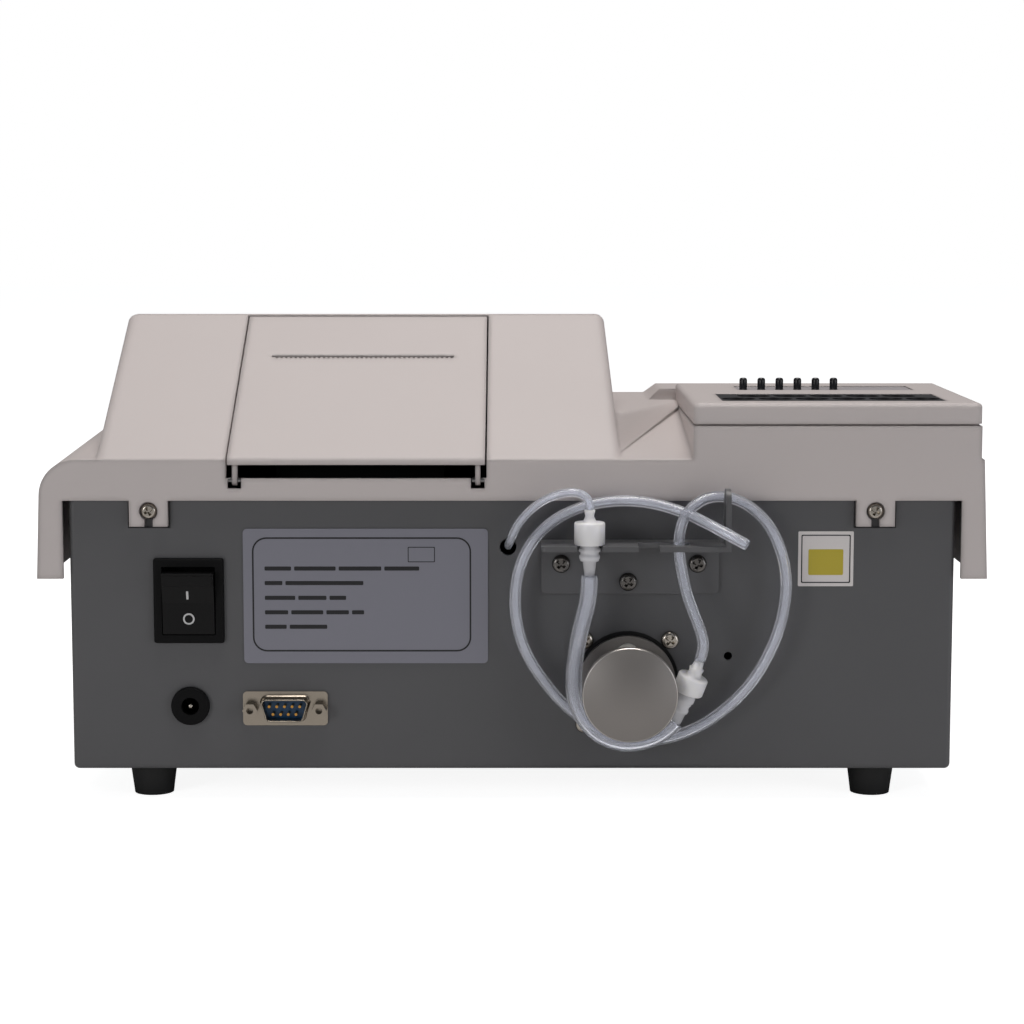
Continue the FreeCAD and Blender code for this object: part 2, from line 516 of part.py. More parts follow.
def chassis_tray():
    outer = block("tray_outer", ("-tray_half", "tray_half"), ("tray_front", "panel_back"),
                  ("foot_height", "panel_top"))
    soft = rounded("tray_soft", outer, at("sheet_radius"), lambda middle, along: middle.z < at("panel_top") - 1)
    inner = block("tray_inner", ("-tray_half + sheet", "tray_half - sheet"),
                  ("tray_front + sheet", "panel_inside"), ("floor_top", "panel_top + 1"))
    low_sides = block("tray_low_sides", ("-tray_half - 1", "tray_half + 1"),
                      ("tray_front - 1", "panel_inside"), ("side_top", "panel_top + 1"))
    low_front = block("tray_low_front", ("-tray_half - 1", "tray_half + 1"),
                      ("tray_front - 1", "nose_front + nose_depth - 6"), ("front_top", "panel_top + 1"))
    niche = block("tray_niche", ("niche_left - 3", "niche_right + 3"),
                  ("tray_front - 1", "nose_front + niche_depth + 5"), ("floor_top", "panel_top + 1"))
    tools = [inner, low_sides, low_front, niche]
    through = ("panel_inside - 1", "panel_back + 1")
    tools.append(rod("pump_way", "Y", ("pump_place", "pump_height"), through,
                     "pump_opening"))
    for step, (along, up) in enumerate(MOTOR_CORNERS):
        tools.append(rod(f"motor_hole_{step}", "Y",
                         (f"pump_place + {along} * motor_pitch", f"pump_height + {up} * motor_pitch"),
                         through, "screw_radius"))
    rocker_half = "(bezel_width / 2 - bezel_lip)"
    tab_half = "(tab_width / 2 + tab_gap)"
    tools.append(block("rocker_way", (f"rocker_place - {rocker_half}", f"rocker_place + {rocker_half}"),
                       through,
                       ("rocker_height - bezel_height / 2 + bezel_end_lip",
                        "rocker_height + bezel_height / 2 - bezel_end_lip")))
    tools.append(rod("jack_way", "Y", ("rocker_place", "jack_height"), through,
                     "jack_radius - jack_collar"))
    tools.append(block("serial_way",
                       ("serial_place - hood_top - hood_gap", "serial_place + hood_top + hood_gap"),
                       through,
                       ("serial_height - hood_half - hood_gap", "serial_height + hood_half + hood_gap")))
    for side in ("-", "+"):
        tools.append(rod("serial_hole" + {"-": "_low", "+": "_high"}[side], "Y",
                         (f"serial_place {side} jackscrew_pitch / 2", "serial_height"),
                         through, "screw_radius"))
        tools.append(block("tab_notch" + {"-": "_low", "+": "_high"}[side],
                           (f"{side}tab_spread - {tab_half}", f"{side}tab_spread + {tab_half}"),
                           through, ("tab_bottom - tab_gap", "panel_top + 1")))
    tools.append(rod("tube_hole", "Y", ("tube_hole_place", "tube_hole_height"),
                     through, "tube_hole_radius"))
    tools.append(rod("vent_hole", "Y", ("vent_place", "vent_height"), through,
                     "vent_radius"))
    for step, (along, up) in enumerate(BRACKET_SCREWS):
        tools.append(rod(f"bracket_hole_{step}", "Y", (along, up), through,
                         "screw_radius"))
    for step, (along, deep) in enumerate(FOOT_SPOTS):
        tools.append(rod(f"foot_hole_{step}", "Z", (along, deep), ("foot_height - 1", "floor_top + 1"),
                         "screw_radius"))
    folded = cut("tray_folded", soft, tools)
    lugs = []
    for side in ("-", "+"):
        lug = block("lug" + {"-": "_low", "+": "_high"}[side],
                    (f"{side}tab_spread - tab_width", f"{side}tab_spread + tab_width"),
                    ("panel_inside - sheet", "panel_inside"), ("tab_bottom - 4", "panel_top"))
        hole = rod("lug_hole" + {"-": "_low", "+": "_high"}[side], "Y", (f"{side}tab_spread", "tab_screw"),
                   ("panel_inside - sheet - 1", "panel_inside + 1"), "case_screw_radius")
        lugs.append(cut("lug_cut" + {"-": "_low", "+": "_high"}[side], lug, [hole]))
    return keep("chassis_tray", fuse("chassis_tray", [folded] + lugs))


MOTOR_CORNERS = ((1, 1), (1, -1), (-1, 1), (-1, -1))
BRACKET_SCREWS = (("-17.7", "bracket_top - 8.5"), ("-66.9", "bracket_top - 8.5"), ("-41.9", "bracket_top - 15.1"))
FOOT_SPOTS = [(f"{sign}foot_spread", deep) for sign in ("", "-")
              for deep in ("panel_back - foot_inset", "nose_front + foot_inset + foot_front_extra")]


def feet():
    cups = []
    screws = []
    for step, (along, deep) in enumerate(FOOT_SPOTS):
        cup = cone(f"foot_cup_{step}", "Z", (along, deep), ("0", "foot_height"), ("foot_tip", "foot_top"))
        well = rod(f"foot_well_{step}", "Z", (along, deep), ("-1", "foot_height / 2"), "foot_well")
        bore = rod(f"foot_bore_{step}", "Z", (along, deep), ("-1", "foot_height + 1"), "screw_radius")
        cups.append(cut(f"foot_cut_{step}", cup, [well, bore]))
        head = rod(f"foot_head_{step}", "Z", (along, deep),
                   ("foot_height / 2 - foot_head_height", "foot_height / 2"), "foot_head")
        shank = rod(f"foot_shank_{step}", "Z", (along, deep),
                    ("foot_height / 2 - foot_head_height / 2", "floor_top + foot_screw_end"), "screw_radius")
        screws.append(fuse(f"foot_screw_{step}", [head, shank]))
    keep("rubber_feet", group("rubber_feet", cups))
    keep("foot_screws", group("foot_screws", screws))


def cross_screw(name, centre, seat, head_radius, head_height, shank_radius, depth):
    """A pan head screw that points into the case: seat is where the head's underside lies."""
    shoulder = f"{head_radius} * screw_shoulder"
    level = f"{seat} + {head_height} * screw_rim"
    top = f"{seat} + {head_height}"
    rim = cone(name + "_rim", "Y", centre, (seat, level), (head_radius, shoulder))
    dome = cone(name + "_dome", "Y", centre, (level, top), (shoulder, f"{head_radius} * screw_crown"))
    shank = rod(name + "_shank", "Y", centre, (f"{seat} - {depth}", f"{seat} + {head_height} / 4"),
                shank_radius)
    long = f"cross_length * {head_radius}"
    narrow = f"cross_width * {head_radius}"
    slots = [block(f"{name}_slot_{step}", (f"{centre[0]} - {wide}", f"{centre[0]} + {wide}"),
                   (f"{seat} + {head_height} * cross_floor", f"{top} + 1"),
                   (f"{centre[1]} - {tall}", f"{centre[1]} + {tall}"))
             for step, (wide, tall) in enumerate(((long, narrow), (narrow, long)))]
    return cut(name, fuse(name + "_blank", [rim, dome, shank]), slots)


def screws():
    keep("case_screws", group("case_screws", [
        cross_screw("case_screw" + name, (f"{side}tab_spread", "tab_screw"), "wall_back - case_screw_sink",
                    "case_screw_head", "pan_height", "case_screw_radius", "(screw_grip - 1)")
        for side, name in (("-", "_low"), ("+", "_high"))]))
    keep("motor_screws", group("motor_screws", [
        cross_screw(f"motor_screw_{step}",
                    (f"pump_place + {along} * motor_pitch", f"pump_height + {up} * motor_pitch"),
                    "panel_back", "pan_head", "pan_height", "screw_radius", "screw_grip")
        for step, (along, up) in enumerate(MOTOR_CORNERS)]))
    keep("bracket_screws", group("bracket_screws", [
        cross_screw(f"bracket_screw_{step}", (along, up), "panel_back + bracket_sheet",
                    "pan_head", "pan_height", "screw_radius", "screw_grip")
        for step, (along, up) in enumerate(BRACKET_SCREWS)]))


# Incubator: cover, well plate, heated block, timer keys

def well_spots():
    rear = [(f"well_first - {step} * well_pitch", "wall_back - wall_step - well_rear_row")
            for step in range(6)]
    front = [(f"well_first - {step + 0.5} * well_pitch", "wall_back - wall_step - well_front_row")
             for step in range(5)]
    return rear + front


def incubator():
    cover = block("cover_blank", ("incubator_left", "incubator_right"), ("lid_front", "wall_back"),
                  ("lid_bottom", "lid_top"))
    soft = rounded("cover_soft", cover, at("lid_radius"), lambda middle, along: middle.z > at("lid_bottom") + 0.5)
    hollow = block("cover_hollow", ("incubator_left + shell_wall", "incubator_right - shell_wall"),
                   ("lid_front + shell_wall", "wall_back - shell_wall"),
                   ("lid_bottom - 1", "lid_top - shell_wall"))
    window = block("cover_window", ("plate_left", "plate_right"),
                   ("panel_back - plate_front", "panel_back - plate_rear"), ("lid_bottom - 1", "lid_top + 1"))
    recess = block("cover_recess", ("label_left", "label_right"),
                   ("panel_back - label_front", "panel_back - label_rear"),
                   ("lid_top - label_sink", "lid_top + 1"))
    holes = [rod(f"key_hole_{step}", "Z", (f"key_first - {step} * key_pitch", "panel_back - key_row"),
                 ("lid_bottom - 1", "lid_top + 1"), "key_radius + key_gap") for step in range(6)]
    foot = block("cover_foot_blank", ("incubator_left + lid_foot_inset", "incubator_right - lid_foot_inset"),
                 ("lid_front + lid_foot_inset", "wall_back - lid_foot_inset"), ("rim_top", "lid_bottom"))
    foot_hollow = block("cover_foot_hollow", ("incubator_left + shell_wall", "incubator_right - shell_wall"),
                        ("lid_front + shell_wall", "wall_back - shell_wall"),
                        ("rim_top - 1", "lid_bottom + 1"))
    keep("incubator_lid", fuse("incubator_lid", [cut("cover_cut", soft, [hollow, window, recess] + holes),
                                                 cut("cover_foot", foot, [foot_hollow])]))
    wells = [rod(f"well_{step}", "Z", spot, ("block_top - well_depth", "lid_top + 1"), "well_radius")
             for step, spot in enumerate(well_spots())]
    plate = block("plate_blank", ("plate_left + plate_fit", "plate_right - plate_fit"),
                  ("panel_back - plate_front + plate_fit", "panel_back - plate_rear - plate_fit"),
                  ("block_top", "plate_top"))
    keep("well_plate", cut("well_plate", plate, [fuse("plate_wells", wells)]))
    side = ("plate_left - block_over", "plate_right + block_over")
    depth = ("panel_back - plate_front - block_over", "panel_back - plate_rear + block_over")
    blank = block("block_blank", side, depth, ("block_top - well_depth", "block_top"))
    more = [rod(f"deep_well_{step}", "Z", spot, ("block_top - well_depth - 1", "lid_top + 1"), "well_radius")
            for step, spot in enumerate(well_spots())]
    drilled = cut("drilled_block", blank, [fuse("block_wells", more)])
    heater = block("heater_plate", side, depth, ("block_bottom", "block_top - well_depth"))
    keep("heated_block", group("heated_block", [drilled, heater]))
    posts = [hexagon(f"block_post_{step}", "Z", (along, deep), ("floor_top", "block_bottom"), "block_post")
             for step, (along, deep) in enumerate(
                 (along, deep) for along in ("plate_left + block_post_inset", "plate_right - block_post_inset")
                 for deep in ("panel_back - plate_front + block_post_inset",
                              "panel_back - plate_rear - block_post_inset"))]
    keep("block_posts", group("block_posts", posts))


def timer_keys():
    """Six push buttons, each held by a collar under the cover, and the board with their switches."""
    collar_top = "lid_top - shell_wall - key_collar_gap"
    collar_low = f"{collar_top} - key_collar"
    spots = [(f"key_first - {step} * key_pitch", "panel_back - key_row") for step in range(6)]
    for step, spot in enumerate(spots):
        stem = rod(f"key_stem_{step}", "Z", spot, (collar_low, "key_top"), "key_radius")
        collar = rod(f"key_collar_{step}", "Z", spot, (collar_low, collar_top), "key_radius + key_collar_lip")
        keep(f"timer_key_{step + 1}", fuse(f"timer_key_{step + 1}", [stem, collar]))
    switch_top = f"{collar_low} - key_travel - key_switch_gap"
    board_top = f"{switch_top} - key_switch_height"
    board = body_plate("key_board", "XY_Plane", f"{board_top} - board_thick", rectangle(
        ("label_left + key_board_left", "label_right - key_board_right"),
        ("panel_back - label_front + key_board_over", "panel_back - label_rear + key_board_over")),
        "board_thick")
    switches = [block(f"key_switch_{step}",
                      (f"{along} - key_switch_width / 2", f"{along} + key_switch_width / 2"),
                      (f"{deep} - key_switch_length / 2", f"{deep} + key_switch_length / 2"),
                      (board_top, switch_top)) for step, (along, deep) in enumerate(spots)]
    legs = [rod(f"key_leg_{step}", "Z", (along, "panel_back - label_rear + key_leg_ahead"),
                (f"{board_top} - board_thick / 2", "lid_top - shell_wall"), "key_leg")
            for step, along in enumerate(("label_left + key_leg_left", "label_right - key_leg_right"))]
    keep("key_board", fuse("key_board", [board] + switches + legs))
    label = block("label_blank", ("label_left + label_fit", "label_right - label_fit"),
                  ("panel_back - label_front + label_fit", "panel_back - label_rear - label_fit"),
                  ("lid_top - label_sink", "lid_top - label_sink + label_thick"))
    holes = [rod(f"label_hole_{step}", "Z", spot, ("lid_top - shell_wall", "lid_top + 1"), "key_radius + key_gap")
             for step, spot in enumerate(spots)]
    keep("key_label", cut("key_label", label, holes))


# Printer: door with its hinge, bay, roll, mechanism and platen

def ramp_point(along, deep):
    """A point of the ramp: a distance up the slope from the ledge, and a depth under its face."""
    return (f"wall_back - ({along}) * cos(ramp_angle) - ({deep}) * sin(ramp_angle)",
            f"ledge_top + ({along}) * sin(ramp_angle) - ({deep}) * cos(ramp_angle)")


def printer_door():
    panel = slab("door_panel", "YZ", [
        ramp_point("0", "-door_lip / 4"), ramp_point("door_length", "0"), ramp_point("door_length", "door_thick"),
        ramp_point("4", "door_thick"), ("wall_back - door_thick + door_lip / 2", "ledge_top - door_lip"),
        ("wall_back + door_lip / 4", "ledge_top - door_lip")],
        ("door_left", "door_right"))
    soft = rounded("door_soft", panel, 0.6,
                   lambda middle, along: middle.y > at("wall_back") - 0.3 or middle.z > at("ridge_top") - 3.2)
    groove = slab("door_groove", "YZ", [
        ramp_point("slit_place", "-1"), ramp_point("slit_place + slit_width", "-1"),
        ramp_point("slit_place + slit_width", "door_thick + 1"), ramp_point("slit_place", "door_thick + 1")],
        ("slit_left", "slit_right"))
    tools = [groove]
    teeth = int((at("slit_right") - at("slit_left")) / at("tooth_pitch"))
    for step in range(teeth):
        low = f"slit_left + {step} * tooth_pitch"
        tools.append(slab(f"tooth_{step}", "YZ", [
            ramp_point("slit_place - tooth_depth", "-1"), ramp_point("slit_place + 0.1", "-1"),
            ramp_point("slit_place + 0.1", "door_thick + 1"),
            ramp_point("slit_place - tooth_depth", "door_thick + 1")],
            (f"{low} + tooth_pitch / 4", f"{low} + tooth_pitch * 3 / 4")))
    door = cut("door_cut", soft, tools)
    ears = []
    for side, low in (("right", "door_right - ear_width - 0.5"), ("left", "door_left + 0.5")):
        span = (f"{low} + (ear_width - ear_wall) / 2", f"{low} + (ear_width + ear_wall) / 2")
        arm = slab("ear_arm_" + side, "YZ", [
            ("hinge_back - ear_radius", "hinge_height"), ("hinge_back + ear_radius", "hinge_height"),
            ("hinge_back + ear_radius", "ledge_top - door_lip / 2"),
            ("hinge_back - ear_radius", "ledge_top - door_lip / 2")],
            span)
        tip = rod("ear_tip_" + side, "X", ("hinge_back", "hinge_height"), span, "ear_radius")
        bore = rod("ear_bore_" + side, "X", ("hinge_back", "hinge_height"),
                   (span[0] + " - 1", span[1] + " + 1"), "hinge_pin_radius + running_gap")
        ears.append(cut("ear_" + side, fuse("ear_blank_" + side, [arm, tip]), [bore]))
    centre = ramp_point("slit_place", "door_thick + platen_radius + platen_gap")
    bearings = []
    for side, low in (("right", "slit_right + platen_gap"), ("left", "slit_left - platen_gap - bearing_thick")):
        high = low + " + bearing_thick"
        deep = "door_thick + platen_radius + bearing_half"
        arm = slab("bearing_arm_" + side, "YZ", [
            ramp_point("slit_place - bearing_half", "door_thick - 0.5"),
            ramp_point("slit_place + bearing_half", "door_thick - 0.5"),
            ramp_point("slit_place + bearing_half", deep), ramp_point("slit_place - bearing_half", deep)],
            (low, high))
        bore = rod("bearing_bore_" + side, "X", centre, (low + " - 1", high + " + 1"),
                   "platen_shaft + running_gap")
        bearings.append(cut("bearing_" + side, arm, [bore]))
    keep("printer_door", fuse("printer_door", [door] + ears + bearings))
    pins = [rod("hinge_pin_right", "X", ("hinge_back", "hinge_height"),
                ("door_right - ear_width - 0.5", "door_right + 5"), "hinge_pin_radius"),
            rod("hinge_pin_left", "X", ("hinge_back", "hinge_height"),
                ("door_left - 5", "door_left + ear_width + 0.5"), "hinge_pin_radius")]
    keep("hinge_pins", group("hinge_pins", pins))
    shaft = rod("platen_shaft", "X", centre, ("slit_left - platen_margin", "slit_right + platen_margin"),
                "platen_shaft")
    sleeve = rod("platen_sleeve", "X", centre, ("slit_left + platen_margin", "slit_right - platen_margin"),
                 "platen_radius")
    keep("platen_roller", fuse("platen_roller", [shaft, sleeve]))


def printer_inside():
    """Paper bay with its legs and cheeks, the roll in it, and the print mechanism on the cheeks."""
    centre = "(door_left + door_right) / 2"
    roll_centre = ramp_point("roll_place", "roll_depth")
    middle = roll_centre[0]
    bottom = f"{roll_centre[1]} - roll_radius - bay_floor"
    rear_rim = f"{roll_centre[1]} + bay_rear_rise"
    front_rim = f"{roll_centre[1]} + bay_front_rise"
    reach = "(roll_radius + bay_wall)"
    half = "(roll_width / 2 + bay_side_gap + bay_side_wall)"
    side = f"{centre} - {half}"
    other = f"{centre} + {half}"
    tub = slab("bay_tub", "YZ", [
        (f"{middle} - {reach}", bottom), (f"{middle} + {reach}", bottom),
        (f"{middle} + {reach}", rear_rim), (f"{middle} - {reach}", front_rim)],
        (side, other))
    head = "door_thick + 2 * platen_radius + platen_gap + mechanism_gap"
    under = f"{head} + mechanism_depth"
    first = "slit_place - mechanism_ahead"
    last = f"{first} + mechanism_run"
    cheek_outline = [
        (f"{middle} - {reach} + roll_gap", bottom), (ramp_point(last, under)[0], bottom),
        ramp_point(last, under),
        ramp_point(first, under), (f"{middle} - {reach} + roll_gap", f"{roll_centre[1]} + bay_rear_rise / 2")]
    walls = [tub, slab("bay_cheek_low", "YZ", cheek_outline, (side, f"{side} + cheek")),
             slab("bay_cheek_high", "YZ", cheek_outline, (f"{other} - cheek", other))]
    for step, (low, high) in enumerate(((side, f"{side} + bay_leg"), (f"{other} - bay_leg", other))):
        walls.append(block(f"bay_leg_{step}", (low, high),
                           (f"{middle} - bay_leg_half", f"{middle} + bay_leg_half"), ("floor_top", bottom)))
    inside = (f"{side} + bay_side_wall", f"{other} - bay_side_wall")
    round_way = rod("bay_round", "X", roll_centre, inside, "roll_radius + roll_gap")
    mouth = block("bay_mouth", inside,
                  (f"{middle} - roll_radius - roll_gap", f"{middle} + roll_radius + roll_gap"),
                  (roll_centre[1], "ridge_top"))
    keep("paper_bay", cut("paper_bay", fuse("bay_blank", walls), [round_way, mouth]))
    roll = rod("roll_blank", "X", roll_centre, (f"{centre} - roll_width / 2", f"{centre} + roll_width / 2"),
               "roll_radius")
    hole = rod("roll_hole", "X", roll_centre, ("door_left - 5", "door_right + 5"), "roll_core")
    keep("paper_roll", cut("paper_roll", roll, [hole]))
    keep("printer_mechanism", slab("printer_mechanism", "YZ", [
        ramp_point(first, head), ramp_point(last, head), ramp_point(last, under), ramp_point(first, under)],
        ("slit_left - mechanism_margin", "slit_right + mechanism_margin")))


# Peristaltic pump on the rear panel

def pump():
    half = "motor_size / 2"
    centre = ("pump_place", "pump_height")
    corners = [(f"pump_place + {along} * motor_pitch", f"pump_height + {up} * motor_pitch")
               for along, up in MOTOR_CORNERS]
    pin_spots = [(f"pump_place + roller_circle * cos({turn})", f"pump_height + roller_circle * sin({turn})")
                 for turn in (90, 210, 330)]
    can = block("motor_can", (f"pump_place - {half}", f"pump_place + {half}"),
                ("panel_inside - motor_length", "panel_inside"),
                (f"pump_height - {half}", f"pump_height + {half}"))
    can = rounded("motor_can_round", can, at("motor_corner"), lambda middle, along: abs(along.y) > 0.9)
    pilot = rod("motor_boss", "Y", centre, ("panel_inside", "panel_back"), "motor_pilot")
    tools = [rod("motor_shaft_way", "Y", centre, ("panel_inside - motor_bore", "panel_back + 1"),
                 "motor_shaft + running_gap")]
    tools += [rod(f"motor_thread_{step}", "Y", spot,
                  ("panel_inside - screw_grip - thread_extra", "panel_inside + 1"), "screw_radius")
              for step, spot in enumerate(corners)]
    keep("pump_motor", cut("pump_motor", fuse("motor_blank", [can, pilot]), tools))
    keep("pump_shaft", rod("pump_shaft", "Y", centre,
                           ("panel_inside - motor_bore + running_gap", "cap_back - cap_skin"), "motor_shaft"))
    disc = rod("disc_blank", "Y", centre, ("disc_front", "disc_back"), "rear_disc")
    hub = rod("disc_hub", "Y", centre, ("disc_front", "disc_back + hub_length"), "hub_radius")
    bores = [rod("disc_shaft_bore", "Y", centre, ("disc_front - 1", "disc_back + hub_length + 1"),
                 "motor_shaft")]
    disc = cut("disc_bored", fuse("disc_whole", [disc, hub]), bores)
    keep("pump_rear_disc", fuse("pump_rear_disc", [disc] + [
        rod(f"roller_pin_{step}", "Y", spot, ("disc_front", "cap_back - cap_skin"), "roller_pin")
        for step, spot in enumerate(pin_spots)]))
    cap = rod("cap_blank", "Y", centre, ("cap_front", "cap_back"), "front_cap")
    cap = rounded("cap_soft", cap, at("cap_edge"), lambda middle, along: middle.y > at("cap_back") - 0.2)
    bores = [rod(f"cap_bore_{step}", "Y", spot, ("cap_front - 1", "cap_back - cap_skin"), "roller_pin")
             for step, spot in enumerate(pin_spots)]
    bores.append(rod("cap_shaft_bore", "Y", centre, ("cap_front - 1", "cap_back - cap_skin"), "motor_shaft"))
    keep("pump_front_cap", cut("pump_front_cap", cap, bores))
    for step, spot in enumerate(pin_spots):
        roller = rod(f"roller_blank_{step}", "Y", spot, ("disc_back + roller_gap", "cap_front - roller_gap"),
                     "roller_radius")
        bore = rod(f"roller_bore_{step}", "Y", spot, ("disc_back", "cap_front"), "roller_pin + running_gap")
        keep(f"pump_roller_{step + 1}", cut(f"pump_roller_{step + 1}", roller, [bore]))


# Folded bracket that guides the tubes

def tube_bracket():
    back = "panel_back + bracket_sheet"
    plate = block("bracket_plate", ("bracket_left", "bracket_right"), ("panel_back", back),
                  ("bracket_bottom", "bracket_top"))
    plate = rounded("bracket_plate_round", plate, at("bracket_corner"),
                    lambda middle, along: abs(along.y) > 0.9 and middle.z < at("bracket_top") - 1)
    flange = block("bracket_flange", ("bracket_left", "bracket_right"),
                   ("panel_back", "panel_back + flange_reach"), ("bracket_top - bracket_sheet", "bracket_top"))
    flange = rounded("bracket_flange_round", flange, at("flange_corner"),
                     lambda middle, along: abs(along.z) > 0.9 and middle.y > at("panel_back") + 5
                     and middle.x > at("bracket_left") + 5)
    horn_left = "bracket_left - horn_offset - bracket_sheet"
    horn_base = block("horn_base", (horn_left, "bracket_left + 1"),
                      ("panel_back + horn_start", "panel_back + flange_reach"),
                      ("bracket_top - bracket_sheet", "bracket_top"))
    horn = block("horn_blade", (horn_left, "bracket_left - horn_offset"),
                 ("panel_back + horn_start", "panel_back + flange_reach"),
                 ("bracket_top - bracket_sheet", "horn_top"))
    horn = rounded("horn_round", horn, at("horn_corner"),
                   lambda middle, along: abs(along.x) > 0.9 and middle.z > at("horn_top") - 1)
    through = ("bracket_top - bracket_sheet - 1", "bracket_top + 1")
    notch = block("bracket_notch", ("notch_place - notch_width / 2", "notch_place + notch_width / 2"),
                  ("panel_back + notch_start", "panel_back + flange_reach + 1"), through)
    notch_end = rod("bracket_notch_end", "Z", ("notch_place", "panel_back + notch_start"), through,
                    "notch_width / 2")
    mouth = block("bracket_mouth", ("slot_right - slot_mouth", "slot_right"),
                  ("panel_back + slot_start", "panel_back + flange_reach + 1"), through)
    slot = block("bracket_slot", ("slot_left", "slot_right"),
                 ("panel_back + slot_start", "panel_back + slot_start + slot_width"), through)
    tools = [notch, notch_end, mouth, slot]
    tools += [rod(f"bracket_bore_{step}", "Y", spot, ("panel_back - 1", back + " + 1"), "screw_radius")
              for step, spot in enumerate(BRACKET_SCREWS)]
    keep("tube_bracket", cut("tube_bracket", fuse("bracket_blank", [plate, flange, horn_base, horn]), tools))


# Switch, sockets, plate and label on the rear panel

def rocker():
    """Rocker switch, rest position with its lower half pressed in."""
    bezel = block("bezel_flange", ("rocker_place - bezel_width / 2", "rocker_place + bezel_width / 2"),
                  ("panel_back", "panel_back + bezel_proud"),
                  ("rocker_height - bezel_height / 2", "rocker_height + bezel_height / 2"))
    rim = at("panel_back") + at("bezel_proud")
    bezel = rounded("bezel_round", bezel, at("bezel_corner"),
                    lambda middle, along: abs(along.y) > 0.9 or middle.y > rim - 0.1)
    box_half = "(bezel_width / 2 - bezel_lip)"
    box_tall = "(bezel_height / 2 - bezel_end_lip)"
    box = block("bezel_box", (f"rocker_place - {box_half}", f"rocker_place + {box_half}"),
                ("panel_inside - bezel_depth", "panel_back + 1"),
                (f"rocker_height - {box_tall}", f"rocker_height + {box_tall}"))
    wide = "(paddle_width / 2 + paddle_gap)"
    tall = "(paddle_height / 2 + paddle_swing)"
    hollow = block("bezel_hollow", (f"rocker_place - {wide}", f"rocker_place + {wide}"),
                   ("panel_back - bezel_hollow", "panel_back + bezel_proud + 1"),
                   (f"rocker_height - {tall}", f"rocker_height + {tall}"))
    keep("rocker_bezel", cut("rocker_bezel", fuse("bezel_blank", [bezel, box]), [hollow]))

    def turned(out, up):
        return (f"panel_back - paddle_sink + ({out}) * cos(rocker_tilt) + ({up}) * sin(rocker_tilt)",
                f"rocker_height + ({up}) * cos(rocker_tilt) - ({out}) * sin(rocker_tilt)")

    half = "paddle_height / 2"
    keep("rocker_paddle", slab("rocker_paddle", "YZ", [
        turned("paddle_proud", f"-({half})"), turned("paddle_valley", "0"), turned("paddle_proud", half),
        turned("0", f"{half} - paddle_chamfer"), turned("-paddle_depth", "paddle_foot"),
        turned("-paddle_depth", "-paddle_foot"), turned("0", f"-({half}) + paddle_chamfer")],
        ("rocker_place - paddle_width / 2", "rocker_place + paddle_width / 2")))


def hood_outline(inset):
    """The mouth of the nine pin socket, wider at its top."""
    low = f"serial_height - hood_half + {inset}"
    high = f"serial_height + hood_half - {inset}"
    return [(f"serial_place - hood_top + {inset}", high), (f"serial_place - hood_bottom + {inset}", low),
            (f"serial_place + hood_bottom - {inset}", low), (f"serial_place + hood_top - {inset}", high)]


def power_socket():
    centre = ("rocker_place", "jack_height")
    end = "panel_back + jack_proud"
    ring = rod("jack_ring", "Y", centre, ("panel_back", end), "jack_radius")
    ring = rounded("jack_ring_round", ring, at("jack_edge"),
                   lambda middle, along: middle.y > at("panel_back") + at("jack_proud") - 0.2)
    barrel = rod("jack_barrel", "Y", centre, ("panel_inside - jack_body", "panel_back + 1"),
                 "jack_radius - jack_collar")
    bore = rod("jack_bore_hole", "Y", centre, ("panel_inside - jack_hole", end + " + 1"), "jack_bore")
    pin = rod("jack_centre_pin", "Y", centre, ("panel_inside - jack_hole - 1", "panel_back + jack_proud / 4"),
              "jack_pin")
    bored = cut("jack_bored", fuse("jack_blank", [ring, barrel]), [bore])
    keep("power_jack", fuse("power_jack", [bored, pin]))


